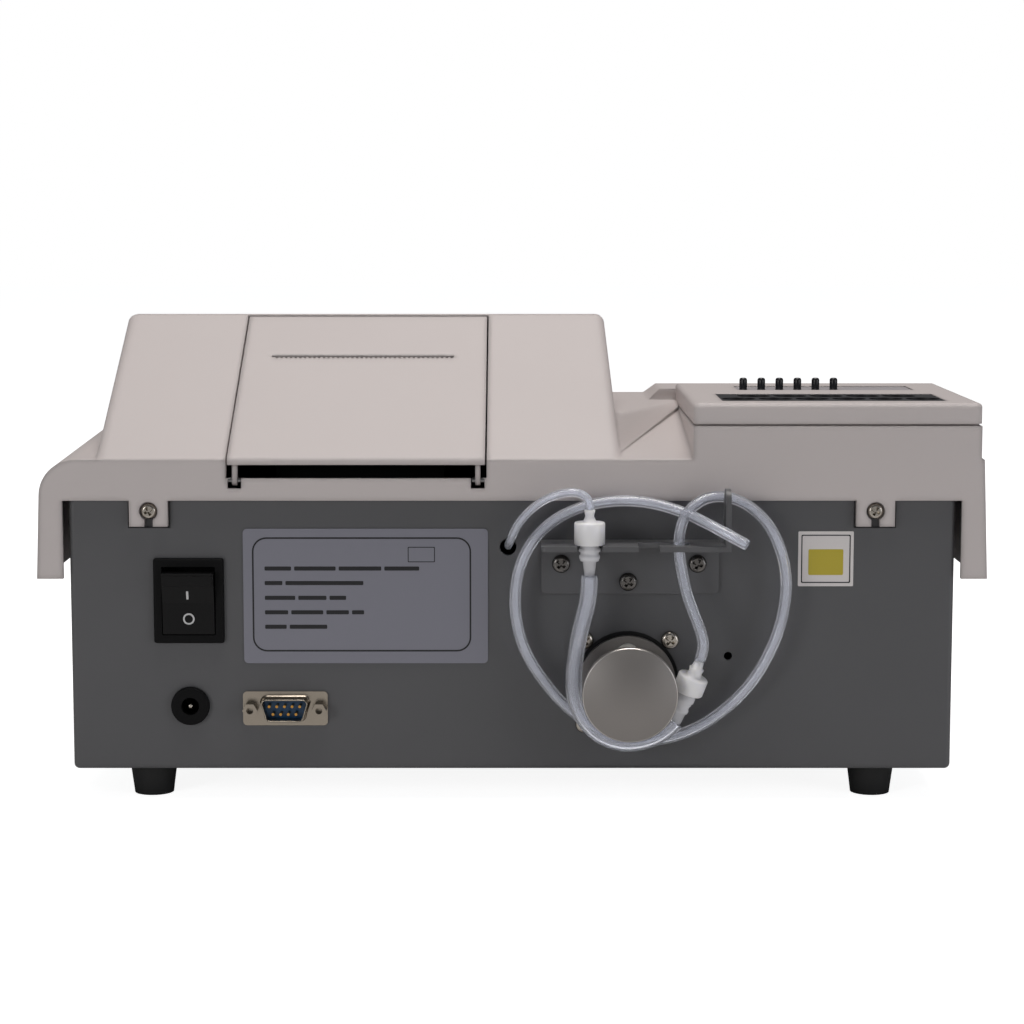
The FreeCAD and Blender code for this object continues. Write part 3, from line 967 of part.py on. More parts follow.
def serial_socket():
    """Flange with its drawn hood, the insert in it, nine contacts and two hexagon standoffs."""
    back = "panel_inside - insert_depth"
    flange_end = "panel_back + serial_flange"
    flange = block("serial_flange_blank",
                   ("serial_place - serial_width / 2", "serial_place + serial_width / 2"),
                   ("panel_back", flange_end),
                   ("serial_height - serial_tall / 2", "serial_height + serial_tall / 2"))
    flange = rounded("serial_flange_round", flange, at("serial_corner"),
                     lambda middle, along: abs(along.y) > 0.9)
    rim = slab("serial_rim", "XZ", hood_outline("0"), (back, "panel_back + hood_proud"))
    rim = rounded("serial_rim_round", rim, at("hood_corner"), lambda middle, along: abs(along.y) > 0.9)
    tools = [slab("serial_mouth", "XZ", hood_outline("hood_wall"),
                  (back + " - 1", "panel_back + hood_proud + 1"))]
    screw_spots = [("low", ("serial_place - jackscrew_pitch / 2", "serial_height")),
                   ("high", ("serial_place + jackscrew_pitch / 2", "serial_height"))]
    tools += [rod("serial_flange_hole_" + name, "Y", spot, ("panel_back - 1", flange_end + " + 1"),
                  "screw_radius") for name, spot in screw_spots]
    keep("serial_shell", cut("serial_shell", fuse("serial_blank", [flange, rim]), tools))
    face = "panel_back + insert_proud"
    insert = slab("insert_blank", "XZ", hood_outline("hood_wall"), (back, face))
    spots = [(f"serial_place + {step - 2} * contact_pitch", "serial_height + contact_row")
             for step in range(5)]
    spots += [(f"serial_place + {step - 1.5} * contact_pitch", "serial_height - contact_row")
              for step in range(4)]
    bores = [rod(f"insert_bore_{step}", "Y", spot, (back + " - 1", face + " + 1"), "contact_radius")
             for step, spot in enumerate(spots)]
    keep("serial_insert", cut("serial_insert", insert, bores))
    pin_reach = ("panel_inside - contact_depth", "panel_back + contact_proud")
    keep("serial_pins", group("serial_pins", [rod(f"serial_pin_{step}", "Y", spot, pin_reach, "contact_radius")
                                              for step, spot in enumerate(spots)]))
    standoffs = []
    end = flange_end + " + jackscrew_proud"
    for name, spot in screw_spots:
        nut = hexagon("jackscrew_hex_" + name, "Y", spot, (flange_end, end), "jackscrew_radius")
        shank = rod("jackscrew_shank_" + name, "Y", spot, ("panel_inside - jackscrew_depth", "panel_back + 1"),
                    "screw_radius")
        thread = rod("jackscrew_hole_" + name, "Y", spot, (end + " - jackscrew_bore", end + " + 1"),
                     "jackscrew_thread")
        standoffs.append(cut("jackscrew_" + name, fuse("jackscrew_blank_" + name, [nut, shank]), [thread]))
    keep("jackscrews", group("jackscrews", standoffs))


def plates():
    rating = body_plate("rating_plate", "XZ_Plane", "-(panel_back)", rectangle(
        ("rating_left", "rating_right"), ("rating_bottom", "rating_top")), "rating_thick", True)
    keep("rating_plate", rating)
    label = body_plate("square_label", "XZ_Plane", "-(panel_back)", rectangle(
        ("label_place - label_size / 2", "label_place + label_size / 2"),
        ("label_height - label_size / 2", "label_height + label_size / 2")), "sticker_thick", True)
    keep("square_label", label)


# Front: display, sample tube and its key

def slope_point(along, high):
    """A point of the display slope: a distance behind the nose, and a height over the slope."""
    return (f"nose_front + ({along}) + ({high}) * sin(display_angle) * -1",
            f"nose_top + ({along}) * display_slope + ({high}) * cos(display_angle)")


def display():
    glass = slab("window_blank", "YZ", [
        slope_point("window_low", "0"), slope_point("window_high", "0"),
        slope_point("window_high", "window_thick"), slope_point("window_low", "window_thick")],
        ("window_left", "window_right"))
    keep("display_window", glass)
    low = "window_low + lcd_inset"
    high = "window_high - lcd_inset"
    keep("lcd_module", slab("lcd_module", "YZ", [
        slope_point(low, "-display_depth"), slope_point(high, "-display_depth"), slope_point(high, "0"),
        slope_point(low, "0")], ("window_left + lcd_inset", "window_right - lcd_inset")))


def sampler():
    """Niche lining, sample tube and the flat key behind it."""
    niche_back = "nose_front + niche_depth"
    lining_back = "nose_front + niche_depth + lining_wall"
    middle = "(niche_left + niche_right) / 2"
    half = "probe_key_width / 2"
    key_low = "floor_top + lining_wall + probe_key_rise"
    key_high = f"{key_low} + probe_key_height"
    lining = block("lining_outer", ("niche_left - lining_wall", "niche_right + lining_wall"),
                   ("nose_front + shell_wall", lining_back), ("floor_top", "niche_top + lining_wall"))
    hollow = block("lining_hollow", ("niche_left", "niche_right"), ("nose_front - 1", niche_back),
                   ("floor_top + lining_wall", "niche_top"))
    key_way = block("lining_key_way",
                    (f"{middle} - {half} - probe_key_gap", f"{middle} + {half} + probe_key_gap"),
                    (f"{niche_back} - 1", f"{lining_back} + 1"),
                    (f"{key_low} - probe_key_gap", f"{key_high} + probe_key_gap"))
    centre = (middle, "nose_front + probe_inset")
    bore = rod("lining_bore", "Z", centre, ("niche_top - 1", "niche_top + lining_wall + 1"), "probe_radius")
    keep("niche_lining", cut("niche_lining", lining, [hollow, key_way, bore]))
    keep("sample_tube", rod("sample_tube", "Z", centre,
                            ("niche_top - probe_length", "niche_top + probe_stub"), "probe_radius"))
    face = block("aspirate_face", (f"{middle} - {half}", f"{middle} + {half}"),
                 (f"{niche_back} - probe_key_travel - lining_wall", f"{lining_back} - probe_key_neck"),
                 (key_low, key_high))
    face = rounded("aspirate_round", face, at("probe_key_corner"), lambda place, along: abs(along.y) > 0.9)
    neck = block("aspirate_neck",
                 (f"{middle} - {half} + probe_stop_lip", f"{middle} + {half} - probe_stop_lip"),
                 (f"{lining_back} - 1", f"{lining_back} + probe_key_neck"),
                 (f"{key_low} + probe_stop_lip", f"{key_high} - probe_stop_lip"))
    stop = block("aspirate_stop",
                 (f"{middle} - {half} - probe_stop_lip", f"{middle} + {half} + probe_stop_lip"),
                 (f"{lining_back} + probe_stop_gap", f"{lining_back} + probe_stop_gap + probe_stop"),
                 (f"{key_low} - probe_stop_lip", f"{key_high} + probe_stop_lip"))
    keep("aspirate_key", fuse("aspirate_key", [face, neck, stop]))


# Inside: boards and the optics

def boards():
    bottom = "floor_top + board_rise"
    top = f"{bottom} + board_thick"
    main = body_plate("main_board", "XY_Plane", bottom,
                      rectangle(("board_left", "board_right"), ("board_front", "board_rear")), "board_thick")
    chip = block("main_chip", ("board_left + chip_place", "board_left + chip_place + chip_size"),
                 ("board_front + chip_place", "board_front + chip_place + chip_size"),
                 (top, f"{top} + chip_thick"))
    header = block("main_header",
                   ("board_right - post_inset - header_length", "board_right - post_inset"),
                   ("board_rear - post_inset - header_width", "board_rear - post_inset"),
                   (top, f"{top} + header_tall"))
    coil = rod("main_coil", "Z", ("board_right - coil_inset", "board_front + coil_inset"),
               (top, f"{top} + coil_tall"), "coil_radius")
    keep("main_board", fuse("main_board", [main, chip, header, coil]))
    spots = [(along, deep) for along in ("board_left + post_inset", "board_right - post_inset")
             for deep in ("board_front + post_inset", "board_rear - post_inset")]
    keep("board_posts", group("board_posts", [
        hexagon(f"board_post_{step}", "Z", spot, ("floor_top", bottom), "post_radius")
        for step, spot in enumerate(spots)]))


def optics():
    """Optical bench with the filter wheel in its slot, the lamp behind it and the flow cell in front."""
    middle = "(bench_left + bench_right) / 2"
    hub = "floor_top + wheel_centre"
    slot_rear = "wheel_place + wheel_slot / 2"
    bench = block("optics_blank", ("bench_left", "bench_right"), ("bench_front", "bench_rear"),
                  ("floor_top", "floor_top + bench_height"))
    wheel_way = block("wheel_way", ("bench_left + bench_wall", "bench_right - bench_wall"),
                      ("wheel_place - wheel_slot / 2", slot_rear),
                      ("floor_top + bench_wall", "floor_top + bench_height + 1"))
    beam = rod("beam_bore", "Y", (middle, f"{hub} + wheel_circle"), ("bench_front - 1", "bench_rear + 1"),
               "beam_radius")
    axle = rod("wheel_bore", "Y", (middle, hub), (f"{slot_rear} - 1", f"{slot_rear} + axle_depth + 1"),
               "axle_radius + running_gap")
    keep("optics_block", cut("optics_block", bench, [wheel_way, beam, axle]))
    wheel_front = "wheel_place - wheel_thick / 2"
    wheel_rear = "wheel_place + wheel_thick / 2"
    wheel = rod("wheel_blank", "Y", (middle, hub), (wheel_front, wheel_rear), "wheel_radius")
    ports = [rod(f"wheel_port_{step}", "Y",
                 (f"{middle} + wheel_circle * cos({45 * step})", f"{hub} + wheel_circle * sin({45 * step})"),
                 (f"{wheel_front} - 1", f"{wheel_rear} + 1"), "port_radius")
             for step in range(8)]
    axle_rod = rod("wheel_axle", "Y", (middle, hub), (wheel_front, f"{slot_rear} + axle_depth"),
                   "axle_radius")
    keep("filter_wheel", fuse("filter_wheel", [cut("wheel_cut", wheel, ports), axle_rod]))
    lamp = block("lamp_holder", (f"{middle} - lamp_width / 2", f"{middle} + lamp_width / 2"),
                 ("bench_rear", "bench_rear + lamp_depth"), ("floor_top", "floor_top + lamp_height"))
    bulb = rod("lamp_bulb", "Z", (middle, "bench_rear + lamp_depth / 2"),
               ("floor_top + lamp_height", "floor_top + lamp_height + bulb_height"), "bulb_radius")
    keep("lamp_unit", fuse("lamp_unit", [lamp, bulb]))
    keep("flow_cell", block("flow_cell", (f"{middle} - cell_size / 2", f"{middle} + cell_size / 2"),
                            ("bench_front - cell_size", "bench_front"),
                            ("floor_top", "floor_top + cell_height")))


# Luer connectors and tubes

def luer_upper():
    spot = ("notch_place", "panel_back + notch_start")
    nut_top = "bracket_top + luer_nut_length"
    wide_low = "bracket_top - luer_body_length"
    nut = rod("upper_nut_blank", "Z", spot, ("bracket_top", nut_top), "luer_nut")
    barb = cone("upper_nut_barb", "Z", spot, (nut_top, nut_top + " + luer_barb_length"),
                ("luer_barb_base", "luer_barb_tip"))
    keep("upper_luer_nut", fuse("upper_luer_nut", [nut, barb]))
    body = rod("upper_body_wide", "Z", spot, (wide_low, "bracket_top"), "luer_body")
    tail = cone("upper_body_tail", "Z", spot, (wide_low + " - luer_tail_length", wide_low),
                ("luer_tail_tip", "luer_tail_base"))
    keep("upper_luer_body", fuse("upper_luer_body", [body, tail]))


# Lower connector: its two ends, and the stages of its pieces as (name, low, high, low radius, high radius)
LOW_LUER = (Vector(-58.6, 143.9, 32.4), Vector(-66.9, 147.6, 55.4))
LOW_NUT = (("low_nut", 12.2, 18.4, 5.5, 5.5), ("low_neck", 18.4, 21.5, 2.6, 2.6),
           ("low_nut_barb", 21.5, 24.73, 2.2, 1.6))
LOW_BODY = (("low_body_barb", 0.0, 4.5, 2.0, 2.4), ("low_body_middle", 4.5, 8.5, 2.9, 2.9),
            ("low_body_wide", 8.5, 12.2, 3.6, 3.6))


def luer_lower():
    """The second connector hangs between the pump tube and the outlet tube."""
    foot, head = LOW_LUER
    along = (head - foot).normalize()
    turn = Rotation(Vector(0, 0, 1), along)

    def stage(name, low, high, first, second):
        straight = first == second
        item = doc.addObject("Part::Cylinder" if straight else "Part::Cone", name)
        if straight:
            item.Radius = first
        else:
            item.Radius1 = first
            item.Radius2 = second
        item.Height = high - low
        item.Placement = FreeCAD.Placement(foot + along * low, turn)
        return item

    keep("lower_luer_nut", fuse("lower_luer_nut", [stage(*row) for row in LOW_NUT]))
    keep("lower_luer_body", fuse("lower_luer_body", [stage(*row) for row in LOW_BODY]))


INLET_ROUTE = [Vector(*spot) for spot in (
    (1.4, 126.0, 93.8), (1.3, 133.5, 95.0), (-2.6, 138.0, 104.5), (-10.6, 141.5, 112.2),
    (-19.8, 144.0, 115.6), (-25.2, 144.0, 114.6), (-27.6, 144.0, 112.0), (-27.6, 144.0, 109.0))]
PUMP_ROUTE = [Vector(*spot) for spot in (
    (-27.6, 144.0, 85.5), (-27.6, 144.0, 77.5), (-24.9, 144.0, 68.0), (-23.0, 144.0, 58.5),
    (-22.0, 144.0, 49.5), (-22.3, 144.0, 41.0), (-25.5, 144.0, 33.0), (-31.3, 144.0, 27.2),
    (-39.2, 144.0, 24.2), (-47.6, 144.0, 25.0), (-54.8, 143.8, 28.2), (-58.6, 143.9, 32.4))]
OUTLET_ROUTE = [Vector(*spot) for spot in (
    (-66.9, 147.6, 55.4), (-68.3, 148.1, 59.2), (-67.7, 147.7, 64.4), (-65.2, 146.0, 71.0),
    (-62.6, 144.0, 77.7), (-60.8, 142.6, 85.5), (-59.2, 142.0, 95.0), (-60.2, 141.8, 104.0),
    (-63.9, 140.6, 109.6), (-70.0, 138.4, 113.0), (-77.6, 136.4, 112.9), (-85.2, 136.6, 109.6),
    (-91.4, 137.4, 103.8), (-95.4, 138.0, 96.4), (-97.8, 138.0, 88.6), (-98.5, 138.0, 80.8),
    (-97.9, 138.0, 73.2), (-96.0, 138.0, 64.8), (-92.7, 138.0, 56.4), (-87.5, 137.6, 46.8),
    (-79.6, 136.8, 37.6), (-69.6, 136.2, 29.8), (-58.8, 135.9, 25.0), (-46.8, 135.8, 23.2),
    (-36.0, 136.0, 25.6), (-28.4, 136.8, 29.9), (-21.9, 137.6, 34.6), (-16.2, 138.0, 40.0),
    (-11.2, 138.0, 46.4), (-7.0, 138.0, 52.6), (-3.8, 138.0, 59.2), (-1.9, 138.0, 66.2),
    (-1.0, 138.0, 73.0), (-1.2, 138.0, 80.0), (-2.4, 138.0, 86.6), (-4.8, 138.0, 92.8),
    (-8.2, 138.0, 98.2), (-12.9, 138.0, 103.0), (-18.6, 138.0, 106.7), (-25.2, 137.6, 109.4),
    (-32.0, 137.2, 110.9), (-39.0, 137.0, 111.5), (-46.0, 137.0, 111.2), (-52.6, 137.2, 110.0),
    (-59.2, 138.8, 108.2), (-65.2, 143.0, 106.2), (-70.4, 149.2, 104.0), (-76.2, 153.3, 101.1),
    (-82.7, 155.6, 97.8))]


def cord(label, route, radius):
    """A tube of straight runs joined by tangent arcs, each as large as its two runs allow."""
    edges = []
    radii = []
    last = route[0]
    for before, corner, after in zip(route, route[1:], route[2:]):
        back = (before - corner).normalize()
        on = (after - corner).normalize()
        half_turn = (math.pi - back.getAngle(on)) / 2
        reach = 0.45 * min((corner - before).Length, (after - corner).Length)
        radii.append(reach / math.tan(half_turn))
        start = corner + back * reach
        end = corner + on * reach
        inward = (back + on).normalize()
        middle = corner + inward * (radii[-1] / math.cos(half_turn) - radii[-1])
        edges += [Part.LineSegment(last, start).toShape(), Part.Arc(start, middle, end).toShape()]
        last = end
    edges.append(Part.LineSegment(last, route[-1]).toShape())
    path = Part.Wire(edges)
    ring = Part.Wire(Part.Circle(route[0], route[1] - route[0], radius).toShape())
    solid = path.makePipeShell([ring], True, False)
    tube = doc.addObject("Part::Feature", label)
    tube.Shape = solid
    keep(label, tube)
    print(f"{label}: length {path.Length:.1f}, smallest arc radius {min(radii):.1f}, "
          f"volume {solid.Volume:.1f}, section times length {math.pi * radius ** 2 * path.Length:.1f}")


def check_and_write():
    """Stop on any failed object or bad solid, then write one file for each sub-part."""
    doc.recompute()
    for item in doc.Objects:
        if "Invalid" in item.State or "Error" in item.State:
            raise RuntimeError(f"{item.Name} failed: {item.State}")
    os.makedirs("parts", exist_ok=True)
    for item in sub_parts:
        if item.Shape.isNull() or not item.Shape.isValid() or not item.Shape.Solids:
            raise RuntimeError(f"{item.Label} has no valid solid")
        item.Shape.exportStep(os.path.join("parts", item.Label + ".step"))
    print(len(sub_parts), "sub-parts written")


fill_sheets()
upper_shell()
chassis_tray()
feet()
screws()
incubator()
timer_keys()
printer_door()
printer_inside()
pump()
tube_bracket()
rocker()
power_socket()
serial_socket()
plates()
display()
sampler()
boards()
optics()
luer_upper()
luer_lower()
cord("inlet_tube", INLET_ROUTE, 1.5)
cord("pump_tube", PUMP_ROUTE, 2.95)
cord("outlet_tube", OUTLET_ROUTE, 2.0)
check_and_write()
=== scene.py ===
import math

import bmesh
import bpy
from mathutils import Matrix, Vector


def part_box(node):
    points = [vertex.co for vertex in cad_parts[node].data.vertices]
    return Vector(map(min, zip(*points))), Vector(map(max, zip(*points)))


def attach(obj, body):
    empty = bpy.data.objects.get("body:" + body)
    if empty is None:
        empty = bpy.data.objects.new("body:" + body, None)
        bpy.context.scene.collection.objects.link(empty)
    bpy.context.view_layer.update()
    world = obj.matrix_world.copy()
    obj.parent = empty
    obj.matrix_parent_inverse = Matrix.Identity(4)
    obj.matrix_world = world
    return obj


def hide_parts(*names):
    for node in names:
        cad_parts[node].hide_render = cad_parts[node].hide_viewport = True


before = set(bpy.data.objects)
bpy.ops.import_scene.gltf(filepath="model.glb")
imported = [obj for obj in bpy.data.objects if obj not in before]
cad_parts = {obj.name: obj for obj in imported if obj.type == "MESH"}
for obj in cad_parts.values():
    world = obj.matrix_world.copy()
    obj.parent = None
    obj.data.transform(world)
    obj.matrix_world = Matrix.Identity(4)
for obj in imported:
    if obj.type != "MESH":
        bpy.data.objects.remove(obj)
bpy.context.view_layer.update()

# Camera. It stands behind the rear panel, on the middle line of the case and a little above it, and
# looks slightly down, as a product picture of the connections is taken.

camera_data = bpy.data.cameras.new("camera")
camera_data.sensor_width = 36.0
camera_data.lens = 89.1
camera = bpy.data.objects.new("camera", camera_data)
camera.location = (0.0, 1.0374, 0.2157)
camera_pitch = 6.86
camera.rotation_euler = (math.radians(90.0 - camera_pitch), 0.0, math.radians(180.0))
bpy.context.scene.collection.objects.link(camera)
bpy.context.scene.camera = camera

# Floor, air and lamps. A pale studio floor that keeps a faint shadow, white air behind the object,
# one broad lamp above it, and a weaker one on each side of the rear panel.


def colour(code):
    """The linear colour of an sRGB hex value."""
    linear = []
    for place in (1, 3, 5):
        share = int(code[place:place + 2], 16) / 255
        if share <= 0.04045:
            linear.append(share / 12.92)
        else:
            linear.append(((share + 0.055) / 1.055) ** 2.4)
    return (*linear, 1.0)


def add(tree, kind, settings=None, links=None):
    """One node, with values for its sockets or properties, and the outputs that feed its sockets."""
    node = tree.nodes.new("ShaderNode" + kind)
    for name, value in (settings or {}).items():
        if isinstance(name, int) or name in node.inputs:
            node.inputs[name].default_value = value
        else:
            setattr(node, name, value)
    for name, source in (links or {}).items():
        tree.links.new(source, node.inputs[name])
    return node


def new_tree(block):
    """An empty node tree of a material or the world."""
    block.use_nodes = True
    block.node_tree.nodes.clear()
    return block.node_tree


def seen_or_refracted(tree):
    """One for what the camera sees, straight or through clear tube, and zero for light on the object."""
    path = add(tree, "LightPath")
    straight = path.outputs["Is Camera Ray"]
    through = path.outputs["Is Transmission Ray"]
    return add(tree, "Math", {"operation": "MAXIMUM"}, {0: straight, 1: through}).outputs[0]


floor_half = 6.0
floor_corners = [(-floor_half, -floor_half, 0), (floor_half, -floor_half, 0),
                 (floor_half, floor_half, 0), (-floor_half, floor_half, 0)]
floor_mesh = bpy.data.meshes.new("floor")
floor_mesh.from_pydata(floor_corners, [], [(0, 1, 2, 3)])
floor = bpy.data.objects.new("floor", floor_mesh)
bpy.context.scene.collection.objects.link(floor)

# Matt vinyl: an even white without gloss, on which only the contact shadow shows.
floor_paint = bpy.data.materials.new("matt_white_studio_vinyl")
tree = new_tree(floor_paint)
vinyl = add(tree, "BsdfDiffuse", {"Color": colour("#e6e6e6")})
glow = add(tree, "Math", {"operation": "MULTIPLY", 1: 0.9}, {0: seen_or_refracted(tree)})
white = add(tree, "Emission", {"Color": colour("#ffffff")}, {"Strength": glow.outputs[0]})
both = add(tree, "AddShader", {}, {0: vinyl.outputs[0], 1: white.outputs[0]})
add(tree, "OutputMaterial", {}, {"Surface": both.outputs[0]})
floor_mesh.materials.append(floor_paint)

world = bpy.data.worlds.new("studio_air")
bpy.context.scene.world = world
tree = new_tree(world)
air = add(tree, "Background", {"Color": colour("#dfe3e8"), "Strength": 0.16})
backdrop = add(tree, "Background", {"Color": colour("#ffffff"), "Strength": 1.0})
seen = seen_or_refracted(tree)
mixed = add(tree, "MixShader", {}, {"Fac": seen, 1: air.outputs[0], 2: backdrop.outputs[0]})
add(tree, "OutputWorld", {}, {"Surface": mixed.outputs[0]})


def lamp(name, place, aim, side, watts, tint):
    """A square soft box that looks at a point."""
    data = bpy.data.lights.new(name, "AREA")
    data.shape = "SQUARE"
    data.size = side
    data.energy = watts
    data.color = colour(tint)[:3]
    item = bpy.data.objects.new(name, data)
    item.location = place
    item.rotation_euler = (Vector(aim) - Vector(place)).to_track_quat("-Z", "Y").to_euler()
    bpy.context.scene.collection.objects.link(item)


panel_middle = (0.0, 0.13, 0.08)
lamp("overhead_lamp", place=(-0.05, 0.15, 1.5), aim=(0.0, 0.05, 0.1), side=0.8, watts=16.2, tint="#fffbf8")
lamp("switch_side_lamp", place=(0.95, 1.25, 0.4), aim=panel_middle, side=0.5, watts=3.6, tint="#ffffff")
lamp("pump_side_lamp", place=(-1.2, 0.95, 0.3), aim=panel_middle, side=0.6, watts=3.1, tint="#f8faff")

bpy.context.scene.view_settings.view_transform = "Standard"

# Tray and tube bracket. The tray is folded sheet steel, and its rear wall is the panel that carries the
# connections. The bracket is a small folded plate screwed to it. Both are powder coated.

MM = 0.001
CLOUD_SIZE = 35.7 * MM


def finish(name, base, roughness, metallic=0.0, grain=None, depth=0.0, edge=0.0, mottle=0.0, **sockets):
    """A surface with a grain and its depth, softened edges, all three in millimetres, and a slight mottle.
    The other sockets of the shader are given by name, with _ for a space."""
    material = bpy.data.materials.new(name)
    tree = new_tree(material)
    settings = {"Base Color": colour(base), "Roughness": roughness, "Metallic": metallic}
    for socket, value in sockets.items():
        settings[socket.replace("_", " ")] = value
    shader = add(tree, "BsdfPrincipled", settings)
    place = add(tree, "TexCoord").outputs["Object"]
    normal = None
    if edge:
        normal = add(tree, "Bevel", {"Radius": edge * MM, "samples": 6}).outputs[0]
    if grain:
        pattern = add(tree, "TexNoise", {"Scale": 1 / (grain * MM), "Detail": 2.0}, {"Vector": place})
        links = {"Height": pattern.outputs[0]}
        if normal:
            links["Normal"] = normal
        normal = add(tree, "Bump", {"Strength": 1.0, "Distance": depth * MM}, links).outputs[0]
    if normal:
        tree.links.new(normal, shader.inputs["Normal"])
    if mottle:
        clouds = add(tree, "TexNoise", {"Scale": 1 / CLOUD_SIZE, "Detail": 3.0}, {"Vector": place})
        darker = [share * (1 - mottle) for share in colour(base)[:3]] + [1.0]
        tones = {"data_type": "RGBA", 6: darker, 7: colour(base)}
        blend = add(tree, "Mix", tones, {"Factor": clouds.outputs[0]})
        tree.links.new(blend.outputs[2], shader.inputs["Base Color"])
    add(tree, "OutputMaterial", {}, {"Surface": shader.outputs[0]})
    return material


def dress(material, *names):
    """Give CAD nodes a finish."""
    for name in names:
        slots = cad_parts[name].data.materials
        slots.clear()
        slots.append(material)


# Powder coat: a half matt grey with the faint orange peel of the melted powder.
powder_coat = finish("grey_powder_coat", "#565658", 0.5, grain=0.5, depth=0.012, edge=0.4, mottle=0.1)
dress(powder_coat, "chassis_tray")

# A smoother powder coat, a shade lighter, which catches a thin light along its folds.
bracket_coat = finish("smoke_grey_powder_coat", "#59595b", 0.42, grain=0.5, depth=0.01, edge=0.35,
                      mottle=0.08)
dress(bracket_coat, "tube_bracket")

# Feet. Black rubber cups, moulded. A screw through the middle of each one holds it against the bottom
# of the tray.

# Nitrile rubber: almost black and dull, with the grey bloom that rubber gets.
foot_rubber = finish("moulded_nitrile_rubber", "#1d1d1d", 0.7, grain=0.6, depth=0.02, edge=0.6, mottle=0.2)
dress(foot_rubber, "rubber_feet")

# Moulded shell, printer door and incubator cover. Warm white ABS, injection moulded, with small radii on
# every outer edge. The shell is screwed to the tray at its lugs, and the door hangs on two pins.

# Moulded ABS: the spark texture of the mould makes it matt. It is drawn coarser than it is, to show.
shell_abs = finish("moulded_textured_abs", "#c6bebc", 0.5, grain=0.45, depth=0.012, edge=3.6, mottle=0.03)
dress(shell_abs, "upper_shell", "printer_door", "incubator_lid")

# Screws. Pressed steel pan heads with a cross recess, plated. They hold the shell, the pump's motor and
# the bracket, and each was left with its cross turned another way.

# Nickel plate: a warm, bright metal with slight clouds from handling.
nickel = finish("bright_nickel_plate", "#b9b2a8", 0.22, 1.0, grain=1.2, depth=0.008, mottle=0.12)
dress(nickel, "foot_screws")

# Nickel plate painted dark for the bracket's screws: a painted shade, a darker colour for the shadow they sit
# in. It still shines on the dome of the head.
bracket_screw_painted_shade = finish("nickel_with_painted_shade", "#6f6c69", 0.24, 1.0, grain=1.2, depth=0.008, mottle=0.15)

# The dome as shares of the head's height and radius, and the arms of the cross as shares of its radius.
PAN_HEAD = ((0.0, 1.0), (0.28, 1.0), (0.6, 0.95), (0.82, 0.84), (0.95, 0.72), (1.0, 0.62))
CROSS_REACH = 0.57
CROSS_HALF_WIDTH = 0.16
CROSS_FLOOR_HEIGHT = 0.05
CROSS_FLOOR_SIZE = 0.6
SCREW_SIDES = 40
HEAD_HEIGHT = 1.9
SHANK_RADIUS = 1.5


def circle(radius, sides):
    """The corners of a circle, anticlockwise."""
    turns = [2 * math.pi * step / sides for step in range(sides)]
    return [(radius * math.cos(turn), radius * math.sin(turn)) for turn in turns]


def cross(radius, turn):
    """The corners of a cross recess for a head of this radius, turned by an angle in degrees."""
    reach = CROSS_REACH * radius
    half = CROSS_HALF_WIDTH * radius
    arms = [(reach, half), (half, half), (half, reach), (-half, reach), (-half, half), (-reach, half),
            (-reach, -half), (-half, -half), (-half, -reach), (half, -reach), (half, -half), (reach, -half)]
    cosine = math.cos(math.radians(turn))
    sine = math.sin(math.radians(turn))
    return [(a * cosine - b * sine, a * sine + b * cosine) for a, b in arms]


def loop(shape, corners, y, x=0.0, z=0.0):
    """Vertices for corners in a plane across Y, moved by x and z, all in millimetres."""
    return [shape.verts.new(((x + across) * MM, y * MM, (z + up) * MM)) for across, up in corners]


def wall(shape, near, far, smooth):
    """Faces from one loop of vertices to the next."""
    for step in range(len(near)):
        shape.faces.new((near[step - 1], near[step], far[step], far[step - 1])).smooth = smooth


def to_mesh(name, shape, *materials):
    """The mesh of a finished shape."""
    mesh = bpy.data.meshes.new(name)
    shape.to_mesh(mesh)
    shape.free()
    for material in materials:
        mesh.materials.append(material)
    return mesh


def put(name, mesh, body, stands_for=None, place=None):
    """Put a mesh into the scene as a piece of a body and the CAD node that it stands for."""
    item = bpy.data.objects.new(name, mesh)
    if place:
        item.matrix_world = place
    bpy.context.scene.collection.objects.link(item)
    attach(item, body)
    if stands_for:
        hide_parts(stands_for)
    return item


def pan_screws(name, spots, top, radius, depth, material):
    """Pan head screws that point into the panel. Each spot is x, z and the turn of its cross."""
    seat = top - HEAD_HEIGHT
    profile = [(-depth, SHANK_RADIUS), (0.0, SHANK_RADIUS)]
    profile += [(HEAD_HEIGHT * up, radius * wide) for up, wide in PAN_HEAD]
    shape = bmesh.new()
    for x, z, turn in spots:
        rings = [loop(shape, circle(wide, SCREW_SIDES), seat + out, x, z) for out, wide in profile]
        for near, far in zip(rings, rings[1:]):
            wall(shape, near, far, True)
        shape.faces.new(rings[0])
        recess = cross(radius, turn)
        smaller = [(a * CROSS_FLOOR_SIZE, b * CROSS_FLOOR_SIZE) for a, b in recess]
        mouth = loop(shape, recess, seat + HEAD_HEIGHT, x, z)
        pit = loop(shape, smaller, seat + CROSS_FLOOR_HEIGHT * HEAD_HEIGHT, x, z)
        wall(shape, mouth, pit, False)
        shape.faces.new(pit)
        edges = [shape.edges.get((line[step - 1], line[step]))
                 for line in (rings[-1], mouth) for step in range(len(line))]
        bmesh.ops.triangle_fill(shape, use_beauty=True, use_dissolve=False, edges=edges)
    bmesh.ops.recalc_face_normals(shape, faces=shape.faces)
    put(name + "_look", to_mesh(name + "_look", shape, material), "case", name)


def head_lines(node, radius):
    """Where the outermost screws of a node stand, left, right, lower and upper, and where their tops are."""
    low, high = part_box(node)
    across = (low.x / MM + radius, high.x / MM - radius)
    upright = (low.z / MM + radius, high.z / MM - radius)
    return (*across, *upright, high.y / MM)


case_head, case_shank = 2.9, 5.0
left, right, lower, upper, top = head_lines("case_screws", case_head)
middle = (lower + upper) / 2
pan_screws("case_screws", [(left, middle, 28), (right, middle, 62)],
           top, case_head, case_shank, nickel)

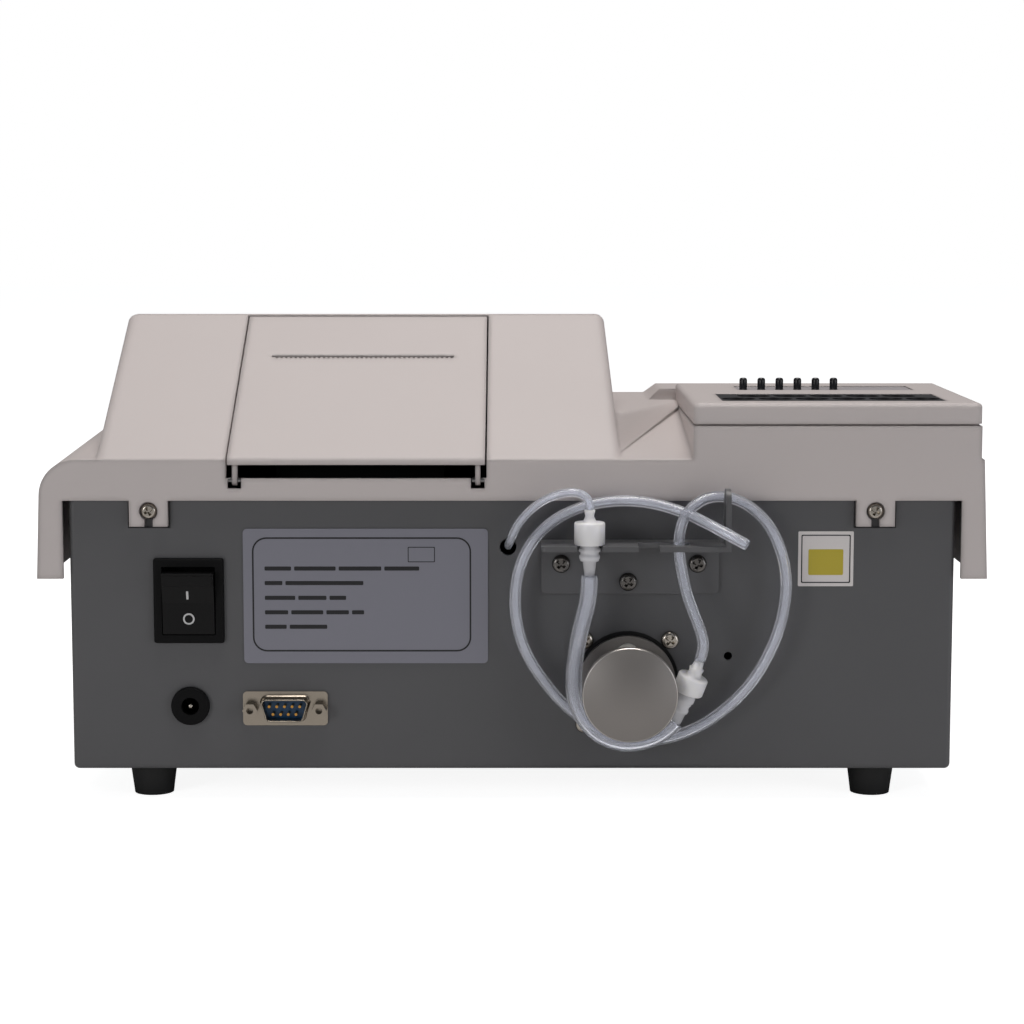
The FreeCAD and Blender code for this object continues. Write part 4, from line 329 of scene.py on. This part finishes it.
panel_head, panel_shank = 3.3, 6.0
left, right, lower, upper, top = head_lines("motor_screws", panel_head)
pan_screws("motor_screws", [(left, lower, 12), (left, upper, 38), (right, lower, 70), (right, upper, 55)],
           top, panel_head, panel_shank, nickel)

# The bracket's screws get the nickel with painted shade.
left, right, lower, upper, top = head_lines("bracket_screws", panel_head)
low_screw_x = -41.9
pan_screws("bracket_screws", [(right, upper, 40), (left, upper, 22), (low_screw_x, lower, 34)],
           top, panel_head, panel_shank, bracket_screw_painted_shade)

# Pump. Two aluminium discs with three acetal rollers between them, on the shaft of a stepper motor that
# is screwed to the inside of the panel. The front disc is a thick cap with a chamfer.

# Bead blasted aluminium: a soft grey metal. Its pits are drawn coarser than they are, to show.
anodised = finish("bead_blasted_aluminium", "#938f8c", 0.55, 1.0, grain=0.3, depth=0.03, edge=0.2, mottle=0.1)
dress(anodised, "pump_rear_disc")

# Diamond turned aluminium on the cap's chamfer. Its real shine comes from a lower roughness, and its colour
# is painted lighter than the cap's: a painted highlight that draws a bright line along the chamfer.
chamfer_painted_highlight = finish("diamond_turned_aluminium_painted_highlight", "#c9c4bf", 0.3, 1.0, mottle=0.08)


def turned(name, profile, foot, head, materials, body, stands_for=None, sides=48, rim=None):
    """A piece turned about the line from foot to head. The profile is (place along it, radius) in
    millimetres, and rim is the stretch of the profile that has the second material."""
    shape = bmesh.new()
    rings = []
    for along, radius in profile:
        rings.append([shape.verts.new((x * MM, y * MM, along * MM)) for x, y in circle(radius, sides)])
    for near, far in zip(rings, rings[1:]):
        wall(shape, near, far, True)
    if rim is not None:
        for face in list(shape.faces)[rim * sides:(rim + 1) * sides]:
            face.material_index = 1
    shape.faces.new(list(reversed(rings[0])))
    shape.faces.new(rings[-1])
    axis = (Vector(head) - Vector(foot)).normalized()
    place = Matrix.Translation(Vector(foot) * MM) @ axis.to_track_quat("Z", "Y").to_matrix().to_4x4()
    return put(name, to_mesh(name, shape, *materials), body, stands_for, place)


pump_x, pump_z = -41.8, 44.3
cap_back, cap_face, cap_radius = 153.0, 156.0, 17.0
cap_thick = cap_face - cap_back
cap_profile = [(0.0, cap_radius - 0.4), (0.3, cap_radius), (cap_thick - 0.4, cap_radius),
               (cap_thick, cap_radius - 0.4), (cap_thick, 0.4)]
# The front chamfer, stretch 2 of the profile, carries the painted highlight.
turned("pump_cap_look", cap_profile, (pump_x, cap_back, pump_z), (pump_x, cap_face, pump_z),
       (anodised, chamfer_painted_highlight), "rotor", "pump_front_cap", sides=96, rim=2)

# Turned acetal: a creamy white, slightly waxy plastic.
acetal = finish("turned_acetal", "#dcdad2", 0.4, edge=0.2, mottle=0.05)
dress(acetal, "pump_roller_1", "pump_roller_2", "pump_roller_3")

# Ground steel: a cool, even shine.
ground_steel = finish("ground_steel", "#9a9a9a", 0.28, 1.0, grain=0.4, depth=0.004, mottle=0.08)
dress(ground_steel, "pump_shaft", "hinge_pins", "sample_tube", "block_posts", "flow_cell", "lcd_module")

# Lacquered laminations: black with a weak sheen and a slightly uneven lacquer.
motor_black = finish("black_stamped_laminations", "#1b1b1c", 0.45, grain=0.5, depth=0.01, edge=0.4,
                     mottle=0.1)
dress(motor_black, "pump_motor", "printer_mechanism", "lamp_unit")

# Silicone tubes. Three lengths of clear peristaltic tube, extruded and hollow: the thin one comes out of
# the panel, the thick one runs round the pump, and the long one is looped over the bracket.

# Extruded silicone: clear with a faint blue milkiness, a glossy outside and a bright line on each edge.
silicone = finish("extruded_silicone", "#eff1f8", 0.03, mottle=0.03, Transmission_Weight=0.82, IOR=1.41)

# Radii, lengths and the points of each route from its exit to its far end are in millimetres.
TUBES = {
    "inlet_tube": {"radius": 1.5, "bore": 0.75, "far_end": "object", "length": 51.4, "route": [
        (1.4, 126.0, 93.8), (1.3, 133.5, 95.0), (-2.6, 138.0, 104.5), (-10.6, 141.5, 112.2),
        (-19.8, 144.0, 115.6), (-25.2, 144.0, 114.6), (-27.6, 144.0, 112.0), (-27.6, 144.0, 109.0)]},
    "pump_tube": {"radius": 2.95, "bore": 1.6, "far_end": "fitting", "length": 91.8, "route": [
        (-27.6, 144.0, 85.5), (-27.6, 144.0, 77.5), (-24.9, 144.0, 68.0), (-23.0, 144.0, 58.5),
        (-22.0, 144.0, 49.5), (-22.3, 144.0, 41.0), (-25.5, 144.0, 33.0), (-31.3, 144.0, 27.2),
        (-39.2, 144.0, 24.2), (-47.6, 144.0, 25.0), (-54.8, 143.8, 28.2), (-58.6, 143.9, 32.4)]},
    "outlet_tube": {"radius": 2.0, "bore": 1.05, "far_end": "bare", "length": 383.6, "route": [
        (-66.9, 147.6, 55.4), (-68.3, 148.1, 59.2), (-67.7, 147.7, 64.4), (-65.2, 146.0, 71.0),
        (-62.6, 144.0, 77.7), (-60.8, 142.6, 85.5), (-59.2, 142.0, 95.0), (-60.2, 141.8, 104.0),
        (-63.9, 140.6, 109.6), (-70.0, 138.4, 113.0), (-77.6, 136.4, 112.9), (-85.2, 136.6, 109.6),
        (-91.4, 137.4, 103.8), (-95.4, 138.0, 96.4), (-97.8, 138.0, 88.6), (-98.5, 138.0, 80.8),
        (-97.9, 138.0, 73.2), (-96.0, 138.0, 64.8), (-92.7, 138.0, 56.4), (-87.5, 137.6, 46.8),
        (-79.6, 136.8, 37.6), (-69.6, 136.2, 29.8), (-58.8, 135.9, 25.0), (-46.8, 135.8, 23.2),
        (-36.0, 136.0, 25.6), (-28.4, 136.8, 29.9), (-21.9, 137.6, 34.6), (-16.2, 138.0, 40.0),
        (-11.2, 138.0, 46.4), (-7.0, 138.0, 52.6), (-3.8, 138.0, 59.2), (-1.9, 138.0, 66.2),
        (-1.0, 138.0, 73.0), (-1.2, 138.0, 80.0), (-2.4, 138.0, 86.6), (-4.8, 138.0, 92.8),
        (-8.2, 138.0, 98.2), (-12.9, 138.0, 103.0), (-18.6, 138.0, 106.7), (-25.2, 137.6, 109.4),
        (-32.0, 137.2, 110.9), (-39.0, 137.0, 111.5), (-46.0, 137.0, 111.2), (-52.6, 137.2, 110.0),
        (-59.2, 138.8, 108.2), (-65.2, 143.0, 106.2), (-70.4, 149.2, 104.0), (-76.2, 153.3, 101.1),
        (-82.7, 155.6, 97.8)]},
}
for name, facts in TUBES.items():
    curve = bpy.data.curves.new("clear_" + name, "CURVE")
    curve.dimensions = "3D"
    curve.bevel_depth = facts["radius"] * MM
    curve.bevel_resolution = 12
    curve.resolution_u = 10
    line = curve.splines.new("NURBS")
    line.points.add(len(facts["route"]) - 1)
    for point, (x, y, z) in zip(line.points, facts["route"]):
        point.co = (x * MM, y * MM, z * MM, 1.0)
    line.order_u = 3
    line.use_endpoint_u = True
    tube = bpy.data.objects.new("clear_" + name, curve)
    bpy.context.scene.collection.objects.link(tube)
    tube_wall = tube.modifiers.new("wall", "SOLIDIFY")
    tube_wall.thickness = (facts["radius"] - facts["bore"]) * MM
    tube_wall.offset = -1.0
    curve.materials.append(silicone)
    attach(tube, "case")
    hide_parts(name)

# Tube connectors. Each is a white nylon nut with a barb above, screwed on a clearer body whose own barb
# goes into the pump's tube. The upper one sits in the bracket, and the lower one hangs between two tubes.

# Moulded nylon: a milky white that light enters a little.
nylon = finish("moulded_natural_nylon", "#eeedee", 0.3, edge=0.25, mottle=0.05, Subsurface_Weight=0.35,
               Subsurface_Radius=(0.004, 0.004, 0.005), Subsurface_Scale=0.5)

# Moulded polypropylene: smoother and a little see-through, so it looks greyer than the nut.
polypropylene = finish("moulded_natural_polypropylene", "#eeeef2", 0.2, edge=0.2, mottle=0.05,
                       Transmission_Weight=0.25, IOR=1.49)

# Each profile runs up the axis of its connector, as places along it and radii in millimetres.
UPPER_NUT = [(0.0, 4.8), (0.0, 5.2), (0.4, 5.5), (7.6, 5.5), (8.1, 5.2), (8.1, 2.6), (9.2, 2.0),
             (10.2, 1.55), (11.2, 1.75), (12.4, 2.0), (12.4, 0.8)]
UPPER_BODY = [(0.0, 1.2), (0.0, 1.8), (5.2, 2.5), (5.2, 3.3), (6.4, 3.7), (7.2, 3.7), (7.6, 3.3),
              (8.3, 3.3), (8.7, 3.9), (9.8, 3.9), (10.2, 3.4), (11.0, 3.4)]
LOWER_NUT = [(12.2, 4.8), (12.2, 5.2), (12.6, 5.5), (18.0, 5.5), (18.4, 5.2), (18.4, 2.7), (20.4, 2.4),
             (21.6, 2.7), (21.6, 2.1), (24.7, 1.6), (24.7, 0.8)]
LOWER_BODY = [(0.0, 1.2), (0.0, 2.0), (4.4, 2.4), (4.4, 2.9), (5.4, 3.0), (6.0, 2.7), (7.0, 2.7),
              (7.6, 3.1), (8.4, 3.1), (8.8, 3.6), (10.6, 3.6), (11.0, 3.2), (12.2, 3.2)]

nut_foot = Vector((-27.6, 144.0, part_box("upper_luer_nut")[0].z / MM))
body_foot = nut_foot - Vector((0.0, 0.0, UPPER_BODY[-1][0]))
turned("upper_luer_nut_look", UPPER_NUT, nut_foot, nut_foot + Vector((0.0, 0.0, 1.0)), (nylon,),
       "case", "upper_luer_nut")
turned("upper_luer_body_look", UPPER_BODY, body_foot, nut_foot, (polypropylene,),
       "case", "upper_luer_body")

lower_foot = TUBES["pump_tube"]["route"][-1]
lower_head = TUBES["outlet_tube"]["route"][0]
lower_nut = turned("lower_luer_nut_look", LOWER_NUT, lower_foot, lower_head, (nylon,),
                   "case", "lower_luer_nut")
lower_body = turned("lower_luer_body_look", LOWER_BODY, lower_foot, lower_head, (polypropylene,),
                    "case", "lower_luer_body")

# Power switch and power socket. Both are moulded in black polyamide and snap or screw into the panel.
# The switch has a smoother paddle, with its two marks printed in white and a ridge at its top.

# Moulded polyamide: a deep black that hardly shines.
black_nylon = finish("moulded_black_polyamide", "#060607", 0.6, grain=0.4, depth=0.006, edge=0.35, mottle=0.1,
                     Specular_IOR_Level=0.15)
dress(black_nylon, "rocker_bezel", "power_jack", "paper_bay")

# The same plastic from a polished mould: a broad weak shine on the paddle.
paddle_nylon = finish("smooth_black_polyamide", "#070708", 0.36, edge=0.4, mottle=0.08,
                      Specular_IOR_Level=0.2)
dress(paddle_nylon, "rocker_paddle")

# Pad print: a thin matt layer of white ink.
white_ink = finish("white_pad_print", "#c8c8c8", 0.5, mottle=0.05)


def outline(steps, half_above, half_below, half_height, radius, centre):
    """The corners of a form with round corners, in millimetres, anticlockwise. Its half width at the top
    may differ from the one at the bottom."""
    points = []
    for right, up, start in ((1, 1, 0), (-1, 1, 90), (-1, -1, 180), (1, -1, 270)):
        half_width = half_above if up > 0 else half_below
        for step in range(steps + 1):
            turn = math.radians(start + 90 * step / steps)
            points.append((centre[0] + right * (half_width - radius) + radius * math.cos(turn),
                           centre[1] + up * (half_height - radius) + radius * math.sin(turn)))
    return points


def ring(steps, width, height, radius, centre=(0.0, 0.0)):
    """The corners of a rounded rectangle. A radius of half its side makes it a circle."""
    return outline(steps, width / 2, width / 2, height / 2, radius, centre)


def film(name, shapes, back, face, material, body, stands_for=None, place=None):
    """Flat shapes with a thickness along Y. Each is an outer ring and, for a frame, an inner one."""
    shape = bmesh.new()
    for outer, inner in shapes:
        outer_back = loop(shape, outer, back)
        outer_face = loop(shape, outer, face)
        wall(shape, outer_back, outer_face, False)
        if inner:
            inner_back = loop(shape, inner, back)
            inner_face = loop(shape, inner, face)
            wall(shape, inner_back, inner_face, False)
            wall(shape, outer_back, inner_back, False)
            wall(shape, outer_face, inner_face, False)
        else:
            shape.faces.new(outer_back)
            shape.faces.new(outer_face)
    bmesh.ops.recalc_face_normals(shape, faces=shape.faces)
    return put(name, to_mesh(name, shape, material), body, stands_for, place)


def on_face(node, x, z):
    """Where a line along Y first meets a CAD node from behind, with +Y turned along the face's normal."""
    behind = (x * MM, 0.3, z * MM)
    spot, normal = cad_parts[node].ray_cast(behind, (0, -1, 0))[1:3]
    turn = Matrix.Rotation(math.atan2(normal.z, normal.y), 4, "X")
    return Matrix.Translation(spot) @ turn


switch_x, switch_z = 116.9, 74.3
ink_thick = 0.06
on_bar = (ring(3, 0.8, 3.2, 0.2), None)
off_circle = (ring(8, 4.2, 4.2, 2.1), ring(8, 3.0, 3.0, 1.5))
film("switch_on_mark", [on_bar], 0.0, ink_thick, white_ink, "rocker",
     place=on_face("rocker_paddle", switch_x + 0.2, switch_z + 2.4))
film("switch_off_mark", [off_circle], 0.0, ink_thick, white_ink, "rocker",
     place=on_face("rocker_paddle", switch_x - 0.1, switch_z - 6.4))

# The ridge is a bar across the paddle, drawn as its section in Y and Z at both ends.
ridge_half = 9.0
low_face = on_face("rocker_paddle", switch_x, switch_z + 5.8).translation.y / MM
high_face = on_face("rocker_paddle", switch_x, switch_z + 9.6).translation.y / MM
section = [(low_face - 0.3, 5.7), (low_face + 0.7, 5.9), (low_face + 0.9, 6.3), (high_face + 0.2, 9.7),
           (high_face - 0.3, 9.7)]
shape = bmesh.new()
near, far = [[shape.verts.new((x * MM, y * MM, (switch_z + z) * MM)) for y, z in section]
             for x in (switch_x - ridge_half, switch_x + ridge_half)]
wall(shape, near, far, False)
shape.faces.new(near)
shape.faces.new(far)
bmesh.ops.recalc_face_normals(shape, faces=shape.faces)
put("switch_ridge", to_mesh("switch_ridge", shape, paddle_nylon), "rocker")

# The round contact in the middle of the power socket.
jack_x, jack_z = 116.9, 35.6
contact_back = 122.0
contact_profile = [(0.0, 1.05), (8.6, 1.05), (9.2, 0.75), (9.4, 0.3)]
turned("jack_contact", contact_profile, (jack_x, contact_back, jack_z), (jack_x, contact_back + 1, jack_z),
       (nickel,), "case", sides=24)

# Serial socket. A deep drawn steel hood with a flange, held by two hexagon screws, round a blue plastic
# insert with nine contacts. The hood's mouth is wider at its top, so that the plug fits one way only.

# Drawn nickel plate: a warmer and cloudier metal than the screws', with soft light on its bends.
hood_nickel = finish("drawn_nickel_plate", "#a69d90", 0.26, 1.0, grain=0.9, depth=0.012, mottle=0.18)
dress(hood_nickel, "jackscrews")


def middle_of(node):
    """The x and z of a CAD node's middle, in millimetres."""
    low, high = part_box(node)
    return (low.x + high.x) / 2 / MM, (low.z + high.z) / 2 / MM


serial_middle = middle_of("serial_shell")
panel_y = 130.0
mouth_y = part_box("serial_shell")[1].y / MM
flange_thick = 0.8
HOOD_ABOVE, HOOD_BELOW, HOOD_HALF_HEIGHT, HOOD_CORNER = 8.5, 7.1, 4.2, 1.9


def hood_ring(inset):
    """The outline of the hood's mouth, moved inwards."""
    return outline(6, HOOD_ABOVE - inset, HOOD_BELOW - inset, HOOD_HALF_HEIGHT - inset,
                   HOOD_CORNER - inset, serial_middle)


flange_hole_inset = 0.5
flange_outline = ring(6, 30.8, 12.5, 1.5, serial_middle)
film("serial_flange_look", [(flange_outline, hood_ring(flange_hole_inset))],
     panel_y, panel_y + flange_thick, hood_nickel, "case")

# From the flange along the outside, round the rim and back inside: places along Y, and how far inwards.
hood_stages = [(panel_y + 0.7, -0.9), (panel_y + 1.0, -0.35), (panel_y + 1.6, 0.0), (mouth_y - 0.5, 0.0),
               (mouth_y - 0.15, 0.1), (mouth_y, 0.3), (mouth_y - 0.15, 0.5), (mouth_y - 0.5, 0.6),
               (panel_y - 0.5, 0.6), (panel_y - 0.5, 0.0)]
shape = bmesh.new()
rings = [loop(shape, hood_ring(inset), y) for y, inset in hood_stages]
for near, far in zip(rings, rings[1:] + rings[:1]):
    wall(shape, near, far, True)
put("serial_hood_look", to_mesh("serial_hood_look", shape, hood_nickel), "case", "serial_shell")

# Moulded polyester: a saturated blue with a low shine.
insert_blue = finish("moulded_blue_polyester", "#14507e", 0.3, edge=0.15, mottle=0.08)
dress(insert_blue, "serial_insert")

# Gold flash: a thin yellow metal layer that glints at the contacts' ends.
contact_gold = finish("gold_flash", "#c9964a", 0.25, 1.0, mottle=0.05)
dress(contact_gold, "serial_pins")

# Rating plate. A satin silver polyester plate with round corners, glued to the panel, and printed in
# black: a frame line, plain bars in rows and a small box.

# Satin film: metal flakes under a matt lacquer, so it is grey with an even half gloss.
plate_film = finish("satin_silver_film", "#83838d", 0.45, 0.3, grain=0.4, depth=0.003, mottle=0.04)

# Screen print: a flat black ink layer.
black_ink = finish("black_screen_print", "#0f0f14", 0.45, mottle=0.05)

low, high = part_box("rating_plate")
plate_x, plate_z = middle_of("rating_plate")
plate_wide, plate_tall = (high.x - low.x) / MM, (high.z - low.z) / MM
plate_corner = 1.6
plate_face = high.y / MM - 0.1
plate_outline = ring(6, plate_wide, plate_tall, plate_corner, (plate_x, plate_z))
film("rating_plate_look", [(plate_outline, None)], low.y / MM, plate_face, plate_film,
     "case", "rating_plate")

# The rows of bars are their height over the frame's middle and the lengths of their bars.
BAR_ROWS = ((9.5, (9.6, 15.0, 15.4, 12.6)), (4.2, (6.4, 28.2)), (-1.2, (11.0, 10.2, 6.0)),
            (-6.5, (8.4, 11.6, 8.2, 4.4)), (-11.8, (7.8, 13.6)))
bar_start, bar_gap, bar_tall, bar_corner = 35.1, 1.1, 1.5, 0.3
plate_ink_thick = 0.04
frame_x, frame_z = plate_x + 1.4, plate_z + 0.6
box_middle = (frame_x - 21.6, frame_z + 14.6)
prints = [(ring(8, 79.2, 41.8, 5.2, (frame_x, frame_z)), ring(8, 78.0, 40.6, 4.6, (frame_x, frame_z))),
          (ring(2, 9.8, 5.6, 0.3, box_middle), ring(2, 9.2, 5.0, 0.2, box_middle))]
for up, lengths in BAR_ROWS:
    start = frame_x + bar_start
    for length in lengths:
        prints.append((ring(2, length, bar_tall, bar_corner, (start - length / 2, frame_z + up)), None))
        start -= length + bar_gap
film("rating_print", prints, plate_face, plate_face + plate_ink_thick, black_ink, "case")

# Square label. A white polyester film glued to the panel, with a thin dark frame and one plain yellow
# field printed on it. The grey strip beside the keys is another such film.

# White film: a clean, slightly glossy white.
label_film = finish("white_polyester_film", "#d9d4d2", 0.4, mottle=0.03)
low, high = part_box("square_label")
label_x, label_z = middle_of("square_label")
label_side = 20.0
label_face = high.y / MM - 0.08
label_ink_face = label_face + 0.05
label_outline = ring(3, label_side, label_side, 0.4, (label_x, label_z))
film("square_label_look", [(label_outline, None)], low.y / MM, label_face, label_film,
     "case", "square_label")
label_line = (ring(3, 17.8, 17.6, 0.5, (label_x, label_z)), ring(3, 17.0, 16.8, 0.4, (label_x, label_z)))
film("label_frame", [label_line], label_face, label_ink_face, black_ink, "case")

# Yellow ink: an opaque, dull yellow.
yellow_ink = finish("yellow_screen_print", "#b9a836", 0.45, mottle=0.05)
field_drop = 1.2
field_outline = ring(3, 12.6, 9.4, 0.5, (label_x, label_z - field_drop))
film("label_field", [(field_outline, None)], label_face, label_ink_face, yellow_ink, "case")

# Grey film: the same film in a light grey, with little gloss.
strip_film = finish("grey_polyester_film", "#aaa5a8", 0.4, mottle=0.05)
dress(strip_film, "key_label")

# Incubator. A well plate lies in the cover over a drilled block, which a heater plate warms from below.
# Beside it stand six push buttons, one for each timer.

# Black anodising: a satin, not quite black metal oxide whose well rims catch a line of light.
black_anodised = finish("black_anodised_aluminium", "#2b292c", 0.42, grain=0.4, depth=0.006, edge=0.15,
                        mottle=0.1)
dress(black_anodised, "well_plate")

# Moulded ABS: black, with a small highlight on each key's crown.
key_black = finish("moulded_black_abs", "#0c0c12", 0.3, mottle=0.08)
collar_radius, collar_tall, key_radius = 2.7, 1.5, 1.5
for number in range(1, 7):
    node = f"timer_key_{number}"
    low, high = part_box(node)
    x, y, tall = (low.x + high.x) / 2 / MM, (low.y + high.y) / 2 / MM, (high.z - low.z) / MM
    key_profile = [(0.0, collar_radius), (collar_tall, collar_radius), (collar_tall, key_radius),
                   (tall - 0.9, key_radius), (tall - 0.5, 1.42), (tall - 0.15, 1.15), (tall, 0.75)]
    turned(node + "_look", key_profile, (x, y, low.z / MM), (x, y, high.z / MM),
           (key_black,), f"key_{number}", node, sides=32)

# Milled aluminium: a light metal with the fine marks of the cutter.
milled = finish("milled_aluminium", "#8f8f92", 0.35, 1.0, grain=0.6, depth=0.008, edge=0.3, mottle=0.08)
dress(milled, "heated_block", "optics_block", "filter_wheel")

# Front. The display's window is a glass plate glued on the slope. The sampling niche is a white plastic
# lining behind the opening, with a steel tube that hangs in front of a large key.

# Toughened glass with a black print on its back: a deep black with clear reflections.
display_glass = finish("toughened_black_glass", "#0b0c0e", 0.06, mottle=0.1, Coat_Weight=0.5)
dress(display_glass, "display_window")

# White ABS: whiter and smoother than the shell.
white_abs = finish("moulded_white_abs", "#d0ccca", 0.4, grain=0.5, depth=0.01, edge=0.5, mottle=0.03)
dress(white_abs, "niche_lining", "aspirate_key")

# Inside. Two circuit boards, the main one on brass posts, and the paper roll with the rubber roller that
# pulls its paper, which turns in the door.

# Solder mask: a dark green lacquer with a slightly uneven gloss.
solder_mask = finish("green_solder_mask", "#1d5a34", 0.35, grain=1.5, depth=0.01, mottle=0.25)
dress(solder_mask, "main_board", "key_board")

# Drawn brass: a yellow metal with a soft shine.
brass = finish("drawn_brass", "#b08d4b", 0.3, 1.0, mottle=0.08)
dress(brass, "board_posts")

# Thermal paper: a warm white without gloss. Its fibres are drawn coarser than they are, to show.
paper = finish("thermal_paper", "#efeeea", 0.8, grain=0.8, depth=0.01, mottle=0.02)
dress(paper, "paper_roll")

# Ground rubber: a dull black with a fine tooth.
platen_rubber = finish("ground_nitrile_rubber", "#1c1c1c", 0.65, grain=0.6, depth=0.01, mottle=0.15)
dress(platen_rubber, "platen_roller")
